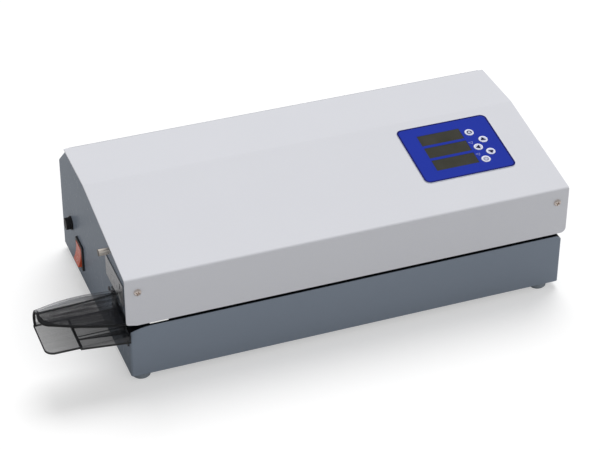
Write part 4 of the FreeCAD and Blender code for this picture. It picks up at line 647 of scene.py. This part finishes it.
def panel_film(name):
    """Printed film: blue field, dark line, pale border, and two small outlined marks."""
    finish = Finish(name, Specular_IOR_Level=0.12)
    across, reach, _ = slope_of("panel_overlay")(finish)
    edge = rounded_box(across, reach, PANEL_WIDTH, PANEL_TALL, PANEL_CORNER)
    grain = finish.noise(0.3 * MM, 2.0)
    drift = finish.wear(size=40 * MM)
    colour = finish.scale(tone(35, 54, 161), 1 + 0.08 * drift + 0.06 * (grain - 0.5))
    colour = finish.mix(edge.inside(-2.1 * MM, 0.4 * MM), tone(24, 28, 100), colour)
    colour = finish.mix(edge.inside(-0.12 * MM, 0.05 * MM), tone(224, 228, 240), colour)
    for mark_across, mark_reach in ((19.6 * MM, 3.9 * MM), (19.6 * MM, -15.9 * MM)):
        shape = arrowhead(across - mark_across, reach - mark_reach, degrees=160.0,
                          ahead=3.0 * MM, behind=2.4 * MM, half=2.3 * MM)
        line = abs(shape + 0.3 * MM).inside(0.22 * MM, 0.12 * MM)
        colour = finish.mix(line * 0.6, colour, tone(190, 196, 226))
    finish.set("Base Color", colour)
    finish.set("Roughness", 0.34 + 0.1 * (grain - 0.5))
    finish.bump(grain, 0.006 * MM)
    return finish


def display_glass(name):
    """Tinted window: dark olive, clouded with a slightly paler shade."""
    finish = Finish(name, Specular_IOR_Level=0.12)
    cloud = finish.noise(16 * MM, 1.0)
    grain = finish.noise(0.25 * MM, 1.0)
    colour = finish.mix(cloud, tone(54, 54, 44), tone(68, 67, 62))
    finish.set("Base Color", finish.scale(colour, 1 + 0.12 * (grain - 0.5)))
    finish.set("Roughness", 0.3 + 0.1 * (grain - 0.5))
    finish.bump(grain, 0.003 * MM)
    return finish


RING_RADIUS = 2.3 * MM


def key_face(name, key, draw):
    """Key disc: pale with a brighter rim, and a mark drawn on its face."""
    finish = Finish(name, Specular_IOR_Level=0.15)
    across, reach, _ = slope_of(key)(finish)
    radius = across.hypot(reach)
    grain = finish.noise(0.3 * MM, 1.0)
    mark, ink = draw(across, reach, radius)
    field = radius.inside(3.7 * MM, 0.4 * MM)
    colour = finish.mix(field, tone(236, 239, 252), tone(196, 200, 224))
    colour = finish.mix(mark, colour, ink)
    finish.set("Base Color", finish.scale(colour, 1 + 0.05 * (grain - 0.5)))
    finish.set("Roughness", 0.36 + 0.12 * (grain - 0.5))
    finish.bump(grain, 0.006 * MM)
    return finish


def pointer(degrees):
    """A dark triangle that points one way."""
    def draw(across, reach, radius):
        shape = arrowhead(across, reach, degrees, ahead=3.6 * MM, behind=2.3 * MM, half=2.9 * MM)
        return shape.inside(0.0, 0.15 * MM), tone(20, 22, 62)
    return draw


def round_arrow(across, reach, radius):
    """A ring with a gap at its lower right, and an arrowhead on its end."""
    ring = abs(radius - RING_RADIUS).inside(0.6 * MM, 0.12 * MM)
    gap = arrowhead(across, reach, 135.0, ahead=0.0, behind=6.0 * MM, half=3.2 * MM)
    head = arrowhead(across - 2.1 * MM, reach + 0.4 * MM, -100.0,
                     ahead=1.5 * MM, behind=0.8 * MM, half=1.6 * MM)
    return (ring * (1 - gap.inside(0.0, 0.15 * MM))).over(head.inside(0.0)), tone(46, 52, 78)


def standby_ring(across, reach, radius):
    """A soft ring, open at its top, with a short bar in the opening."""
    ring = abs(radius - RING_RADIUS).inside(0.6 * MM, 0.15 * MM)
    open_top = abs(across).inside(0.9 * MM) * (-1 * reach).inside(0.0)
    bar = abs(across).inside(0.35 * MM) * abs(reach - 1.9 * MM).inside(1.3 * MM)
    return (ring * (1 - open_top)).over(bar) * 0.75, tone(112, 114, 128)


def smoked_plastic(name, marks, streaks):
    """Clear smoked plastic with streaks along the feed. Marks give its dark rims and lines, the
    hood's painted shade along its crease among them, its density seen square on, and where a
    painted highlight makes it pale; at a slant it is denser."""
    finish = Finish(name, IOR=1.49)
    rim, density, pale = marks(finish)
    streak = finish.noise(3.4 * MM, 2.0, stretch=(16.0, 1.0, 1.0))
    scuff = finish.noise(0.5 * MM, 3.0)
    slant = finish.node("LayerWeight", {}, {"Blend": 0.5})["Facing"]
    cover = density + 0.5 * slant * slant * slant + streaks * (streak - 0.5) + 0.8 * rim
    colour = finish.scale(tone(38, 39, 43), 0.7 + 0.6 * streak)
    # Painted highlight: paler and a little clearer where the marks give it
    if pale:
        cover = cover - 0.15 * pale
        colour = finish.mix(pale, colour, tone(186, 188, 194))
    finish.set("Alpha", cover.under(0.97))
    finish.set("Base Color", finish.mix(rim.under(1.0), colour, tone(17, 18, 20)))
    finish.set("Roughness", 0.12 + 0.1 * (scuff - 0.5) + 0.4 * rim)
    finish.bump(scuff, 0.002 * MM)
    return finish


def hood_marks(finish):
    """Dark lip, wide about its corner and paler within, dark mouth, painted shade along the crease,
    dense roof that clears towards the wall, and a painted highlight band along the crown. The
    crease is at girth 0.60 - 0.05 ((x + 45 mm) / 38 mm)^2."""
    lip_band, inner_band = 1.9 * MM, 2.1 * MM
    x = finish.from_corner()[0]
    rim = finish.node("Attribute", {"attribute_name": "rim"})["Fac"]
    girth = finish.node("Attribute", {"attribute_name": "girth"})["Fac"]
    bow = (x + 45 * MM) * (1 / (38 * MM))
    past = girth - (0.60 - 0.05 * bow * bow)
    back = girth.inside(0.47, 0.03)
    corner = (x + 72 * MM).inside(0.0, 7 * MM) * (1 - back)
    lip = (rim - lip_band * (1.1 * corner + 1.0)).inside(0.0, 0.3 * MM) * (1 - back)
    within = corner * abs(rim - inner_band).inside(0.8 * MM, 0.4 * MM)
    mouth = (x - GUIDE_LEFT * MM).inside(2.6 * MM, 0.3 * MM) * back
    # Painted shade: a dark line along the crease
    crease = abs(past).inside(0.008, 0.005)
    fade = (-1 * x).ramp(8 * MM, 70 * MM)
    # Painted highlight: a pale band along the crown, fading towards the wall
    crown = past.inside(-0.016, 0.008) * (1 - girth.inside(0.41, 0.02)) * fade
    roof = 1 - past.inside(0.0, 0.02)
    near_wall = x.ramp(-26 * MM, 16 * MM)
    density = 0.36 + 0.24 * roof - 0.22 * near_wall
    return (lip - 0.45 * within).over(mouth).over(0.7 * crease), density, crown


def tab_marks(finish):
    """Dark line round the edge of the tab on the wall."""
    _, y, z = finish.from_corner()
    middle, size = (TAB_LOW + TAB_HIGH) / 2, TAB_HIGH - TAB_LOW
    outline = rounded_box(y - middle[1], z - middle[2], size[1], size[2], TAB_CORNER)
    return 0.1 * (-0.8 * MM - outline).inside(0.0, 0.2 * MM), 0.3, None


def tray_marks(finish):
    """Dark lines along the tongue's outline, the hollow box's end and lower edge, and its rib.
    The tray is denser over the box."""
    box_left, back_wall, rib_place = -50 * MM, 48.0 * MM, 13.4 * MM
    box_foot, box_slope = 50.3 * MM, 0.1055
    x, y, z = finish.from_corner()
    # Only the left and the front side of this rectangle lie on the tongue
    outline = rounded_box(x - 14 * MM, y - 45.4 * MM, 200 * MM, 100 * MM, 10 * MM)
    over_box = (box_left - x).inside(0.0)
    on_tongue = (54.9 * MM - z).inside(0.0)
    line = (-0.9 * MM - outline).inside(0.0, 0.2 * MM) * on_tongue * (1 - 0.8 * over_box)
    back = 0.6 * abs(y - back_wall).inside(0.5 * MM)
    box_end = abs(x + 49.2 * MM).inside(1.1 * MM)
    rib = abs(y - rib_place).inside(0.8 * MM) * (-48 * MM - x).inside(0.0)
    lower = (z - box_foot + box_slope * x).inside(0.0, 0.2 * MM) * (y + 3.4 * MM).inside(0.0)
    lines = line.over(back).over(box_end).over(0.8 * rib).over(lower * over_box)
    fade = (x - GUIDE_LEFT * MM) * (0.10 / (36 * MM))
    return lines, 0.39 + fade.under(0.10) + 0.08 * over_box, None


def rocker_lens(name):
    """Translucent orange-red lens, lit a little from within, with pale marks on its two halves."""
    low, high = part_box("switch_rocker")
    middle = (low + high) / 2
    mark_rise = 6.5 * MM
    finish = Finish(name, Coat_Weight=0.2, Coat_Roughness=0.2)
    across = finish.y - middle.y
    rise = finish.z - middle.z
    grain = finish.noise(0.4 * MM, 1.0)
    glow = finish.noise(9 * MM, 1.0)
    ring = abs(across.hypot(rise + mark_rise) - 2.4 * MM).inside(0.45 * MM)
    bar = abs(across).inside(0.5 * MM) * abs(rise - mark_rise).inside(2.8 * MM)
    colour = finish.mix(glow, tone(184, 66, 38), tone(212, 98, 66))
    colour = finish.mix(ring.over(bar) * 0.45, colour, tone(236, 196, 176))
    finish.set("Base Color", colour)
    finish.set("Emission Color", finish.scale(tone(214, 84, 48), 0.5 + glow * 0.6))
    finish.set("Emission Strength", 0.12)
    finish.set("Roughness", 0.28 + 0.1 * (grain - 0.5))
    finish.bump(grain, 0.006 * MM)
    return finish


def circuit_board(name, node, tilted, top_off):
    """Green board with printed tracks; what stands above it is dark or metal."""
    finish = Finish(name)
    low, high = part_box(node)
    across, reach, off = slope_of(node)(finish) if tilted else (
        finish.x - low.x, finish.y - low.y, finish.z - low.z)
    pitch_across, pitch_reach = 5.08 * MM, 7.62 * MM
    track_across = abs(across.wave(pitch_across)).inside(0.35, 0.08)
    track_reach = abs(reach.wave(pitch_reach)).inside(0.3, 0.08)
    patch = finish.noise(14 * MM, 0.0).inside(0.5, 0.02)
    track = track_across * patch + track_reach * (1 - patch)
    grain = finish.noise(0.4 * MM, 2.0)
    board = finish.mix(track.under(1.0), tone(18, 74, 44), tone(46, 122, 72))
    parts = finish.mix(finish.noise(18 * MM, 0.0).inside(0.52, 0.02), tone(34, 34, 37),
                       tone(92, 84, 70))
    on_board = off.inside(top_off, 0.05 * MM)
    finish.set("Base Color", finish.mix(on_board, parts, board))
    finish.set("Roughness", 0.42 + 0.2 * (grain - 0.5))
    finish.bump(track * 0.6 + grain * 0.2, 0.03 * MM)
    return finish


# Floor, light and camera

def seen(path):
    """1 on the camera's own rays and on those that pass through glass."""
    return path["Is Camera Ray"].over(path["Is Transmission Ray"])


def studio():
    """White background for what the camera sees, dimmer for reflections, soft light else."""
    world = bpy.data.worlds.new("studio")
    bpy.context.scene.world = world
    world.use_nodes = True
    world.node_tree.nodes.clear()
    nodes = Nodes(world.node_tree)
    path = nodes.node("LightPath")
    level = seen(path).over(0.34 * path["Is Glossy Ray"]).over(0.33)
    light = nodes.node("Background", {}, {"Color": WHITE, "Strength": level})[0]
    nodes.node("OutputWorld", {}, {"Surface": light})


def lamp(name, towards, level, spread):
    """A far soft lamp. Level is the light it gives a surface that faces it, 1 for plain white."""
    sun = bpy.data.lights.new(name, "SUN")
    sun.energy = math.pi * level
    sun.angle = math.radians(spread)
    holder = bpy.data.objects.new(name, sun)
    bpy.context.scene.collection.objects.link(holder)
    holder.rotation_euler = Vector(towards).to_track_quat("Z", "Y").to_euler()
    holder.visible_glossy = False


def floor():
    """Plain pale floor that fades to the white background and keeps the shadow."""
    side, level = 8.0, -0.2 * MM
    corners = [(-side, -side, level), (side, -side, level), (side, side, level),
               (-side, side, level)]
    mesh = bpy.data.meshes.new("floor")
    mesh.from_pydata(corners, [], [(0, 1, 2, 3)])
    plane = bpy.data.objects.new("floor", mesh)
    bpy.context.scene.collection.objects.link(plane)
    finish = Finish("floor_paper", Roughness=0.9, Specular_IOR_Level=0.1)
    grain = finish.noise(3 * MM, 2.0)
    finish.set("Base Color", finish.scale((0.62, 0.62, 0.62), 1 + 0.01 * (grain - 0.5)))
    glow = finish.node("Emission", {}, {"Color": WHITE, "Strength": 0.44})[0]
    paper = Value(finish, finish.shader.outputs[0])
    lifted = finish.node("AddShader", {}, {0: paper, 1: glow})[0]
    share = seen(finish.node("LightPath"))
    choose = finish.node("MixShader", {}, {0: share, 1: paper, 2: lifted})[0]
    finish.feed(finish.tree.nodes["Material Output"].inputs["Surface"], choose)
    mesh.materials.append(finish.material)
    plane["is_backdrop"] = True


def camera():
    """The photograph's view of the object."""
    data = bpy.data.cameras.new("camera")
    data.sensor_width = 36.0
    data.lens = 120.5
    data.clip_start = 0.05
    holder = bpy.data.objects.new("camera", data)
    bpy.context.scene.collection.objects.link(holder)
    right = Vector((0.9352498, -0.35395521, 0.00484933))
    top = Vector((0.19533706, 0.52746349, 0.8268166))
    away = Vector((-0.29521389, -0.77233281, 0.5624507))
    turn = Matrix((right, top, away)).transposed().to_4x4()
    stand = Matrix.Translation((-0.626387, -1.724263, 1.314985))
    holder.matrix_world = stand @ turn
    bpy.context.scene.camera = holder


bpy.context.scene.view_settings.view_transform = "Standard"
studio()
lamp("key_lamp", towards=(0.22, 0.42, 0.88), level=0.70, spread=40.0)
lamp("front_lamp", towards=(0.35, -0.85, 0.40), level=0.18, spread=60.0)
floor()
camera()


# A finish for every solid

COVER_PAINT = powder_coat("cover_paint", (0.70, 0.708, 0.75), roughness=0.45, gloss=0.2,
                          pebble=0.9 * MM, depth=0.015 * MM)
# The housing paint carries painted shade: near black inside the through slot
HOUSING_PAINT = powder_coat("housing_paint", (0.241, 0.280, 0.338), roughness=0.25, gloss=0.03,
                            pebble=0.8 * MM, depth=0.012 * MM, dark=slot_inside)
BLACK_PLASTIC = moulded_plastic("black_plastic", tone(24, 24, 26))
WHITE_PLASTIC_GLOW = moulded_plastic("white_plastic", tone(236, 236, 232), 0.3)
# Painted light: the white glide glows faintly, though it is no lamp, so it shows whiter in the
# shade under the cover
WHITE_PLASTIC_GLOW.set("Emission Color", WHITE)
WHITE_PLASTIC_GLOW.set("Emission Strength", 0.35)
FOOT_RUBBER = soft_rubber("foot_rubber", (0.25, 0.285, 0.325))
ROLLER_RUBBER = soft_rubber("roller_rubber", tone(158, 72, 54))
SCREW_STEEL = brushed("screw_steel", (0.80, 0.71, 0.65), 0.30, EVEN, 0.5 * MM)
PLATE_STEEL = brushed("plate_steel", (0.42, 0.42, 0.43), 0.3, (1.0, 30.0, 1.0))
NICKEL = knurled("nickel", (0.80, 0.75, 0.69))
BRASS = turned("brass", (0.72, 0.56, 0.28))
ALUMINIUM = turned("aluminium", (0.70, 0.71, 0.73), 0.3)
HEATER_METAL = brushed("heater_metal", (0.66, 0.67, 0.69), 0.34)
GROUND_STEEL = turned("ground_steel", (0.55, 0.56, 0.58), 0.22)
SPRING_STEEL = brushed("spring_steel", (0.42, 0.43, 0.45), 0.3, EVEN, 0.4 * MM)
ZINC = passivated("zinc_plate", (0.60, 0.61, 0.63))
BELT_CLOTH = woven_belt("belt_cloth", (0.26, 0.16, 0.085))
DARK_SCREW = brushed("dark_screw", (0.16, 0.16, 0.17), 0.35, EVEN, 0.4 * MM)
SMOKED_TRAY = smoked_plastic("smoked_tray", tray_marks, streaks=0.06)
SMOKED_HOOD = smoked_plastic("smoked_hood", hood_marks, streaks=1.1)
SMOKED_TAB = smoked_plastic("smoked_tab", tab_marks, streaks=0.06)

FINISHES = {
    COVER_PAINT: ["top_cover"],
    HOUSING_PAINT: ["base_housing"],
    BLACK_PLASTIC: ["switch_frame", "fuse_holder", "fuse_cap", "mains_inlet", "infeed_sensor"],
    WHITE_PLASTIC_GLOW: ["infeed_glide"],
    FOOT_RUBBER: ["rubber_feet"],
    ROLLER_RUBBER: ["lower_roller_sleeve", "upper_roller_sleeve"],
    SCREW_STEEL: ["large_screws"],
    DARK_SCREW: ["small_screws"],
    PLATE_STEEL: ["adjuster_plate"],
    NICKEL: ["thumb_screw"],
    BRASS: ["thumb_screw_nut", "drive_bushes", "inlet_pins", "motor_pinion"],
    ALUMINIUM: ["lower_drive_pulley", "upper_drive_pulley", "lower_idler_pulley",
                "upper_idler_pulley", "lower_roller_core", "upper_roller_core", "drive_motor"],
    HEATER_METAL: ["lower_heater", "upper_heater"],
    GROUND_STEEL: ["lower_drive_shaft", "upper_drive_shaft", "lower_drive_gear",
                   "upper_drive_gear", "fixed_pins", "motor_shaft", "upper_roller_pin",
                   "motor_pillars"],
    SPRING_STEEL: ["heater_springs", "arm_spring"],
    ZINC: ["chassis_plate", "motor_plate", "heater_carrier", "spring_brackets", "pressure_arm"],
    BELT_CLOTH: ["lower_belt", "upper_belt"],
    SMOKED_TRAY: ["infeed_tray"],
    SMOKED_HOOD: ["infeed_hood"],
    panel_film("panel_film"): ["panel_overlay"],
    display_glass("display_glass"): ["display_windows"],
    key_face("cycle_key_face", "cycle_key", round_arrow): ["cycle_key"],
    key_face("up_key_face", "up_key", pointer(-32.0)): ["up_key"],
    key_face("select_key_face", "select_key", pointer(62.0)): ["select_key"],
    key_face("down_key_face", "down_key", pointer(144.0)): ["down_key"],
    key_face("standby_key_face", "standby_key", standby_ring): ["standby_key"],
    rocker_lens("rocker_lens"): ["switch_rocker"],
    circuit_board("control_board_finish", "control_board", True, 0.0): ["control_board"],
    circuit_board("power_supply_finish", "power_supply", False, 9.7 * MM): ["power_supply"],
}
for finish, names in FINISHES.items():
    for name in names:
        mesh = frame["nodes"][name].data
        mesh.materials.clear()
        mesh.materials.append(finish.material)


# Finer pieces in place of plain solids

hood = piece(hood_piece(), SMOKED_HOOD, "frame", "infeed_hood")
wall = hood.modifiers.new("wall", "SOLIDIFY")
wall.thickness = 2.0 * MM
wall.offset = -1.0
rounding = hood.modifiers.new("rounding", "BEVEL")
rounding.width = 0.5 * MM
rounding.segments = 2
rounding.angle_limit = math.radians(60.0)

tab = rounded_plate(CORNER + TAB_LOW, CORNER + TAB_HIGH, TAB_CORNER, edge=0.5 * MM)
piece(merged_mesh("infeed_hood_tab", tab), SMOKED_TAB, "frame", "infeed_hood")

piece(fuse_cap_piece(), BLACK_PLASTIC, "cap", "fuse_cap")

heads_low, heads_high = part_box("large_screws")
feet_low, feet_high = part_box("rubber_feet")
LARGE = {"head": 4.0 * MM, "height": 2.4 * MM, "shank": 2.0 * MM, "length": 9.0 * MM}
FOOT_RADIUS = 10 * MM
FOOT_SEAT = 4.0 * MM
grids = []
for x in (heads_low.x + LARGE["head"], heads_high.x - LARGE["head"]):
    grids += pan_screw((x, FRONT, heads_high.z - LARGE["head"]), (0, -1, 0), **LARGE)
for x in (feet_low.x + FOOT_RADIUS, feet_high.x - FOOT_RADIUS):
    for y in (feet_low.y + FOOT_RADIUS, feet_high.y - FOOT_RADIUS):
        grids += pan_screw((x, y, FOOT_SEAT), (0, 0, -1), **LARGE)
piece(merged_mesh("large_screws_recessed", grids), SCREW_STEEL, "frame", "large_screws")

SMALL = {"head": 2.6 * MM, "height": 1.6 * MM, "shank": 1.5 * MM}
small_low, small_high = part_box("small_screws")
left_face = (small_low.x + SMALL["height"]) / MM
rear_face = (small_high.y - SMALL["height"]) / MM

# Seats in mm, the way each head faces and the shank's length: the guide's, the inlet's, the
# chassis plate's on the floor, and its tie screw in the left wall
seats = [((left_face, y, z), (-1, 0, 0), 9.0)
         for y, z in ((-77.65, 51.2), (-118.05, 51.2), (-77.65, 80.8))]
seats += [((x, rear_face, 48.0), (0, 1, 0), 7.4) for x in (-155.0, -115.0)]
seats += [((x, -57.45, 12.5), (0, 0, 1), 4.5) for x in (-137.0, -17.0, 103.0, 223.0)]
seats += [((-203.8, -60.05, 72.8), (-1, 0, 0), 4.8)]
grids = [grid for seat, axis, length in seats
         for grid in pan_screw(np.array(seat) * MM, axis, length=length * MM, **SMALL)]
piece(merged_mesh("small_screws_recessed", grids), DARK_SCREW, "frame", "small_screws")

# Each spring as a closed coil between its seats, set in place with no body; the part it presses on
# is listed but not used
for node, presses in (("heater_springs", "upper_bar"), ("arm_spring", "arm")):
    low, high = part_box(node)
    reach = SPRING_RADIUS + SPRING_WIRE
    seat, roof = low.z - SEAT_REACH, high.z + SEAT_REACH
    coils = [spring(x, (low.y + high.y) / 2, seat, roof)
             for x in sorted({round(low.x + reach, 6), round(high.x - reach, 6)})]
    coil = piece(merged_mesh(node + "_closed", coils), SPRING_STEEL, None, node)
    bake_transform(coil)

for node, width in (("switch_rocker", 0.8 * MM), ("switch_frame", 0.5 * MM),
                    ("adjuster_plate", 0.3 * MM), ("infeed_tray", 0.4 * MM)):
    soften(node, width)

unfinished = set(frame["nodes"]) - {name for names in FINISHES.values() for name in names}
if unfinished:
    print("no finish for", sorted(unfinished))

low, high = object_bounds()
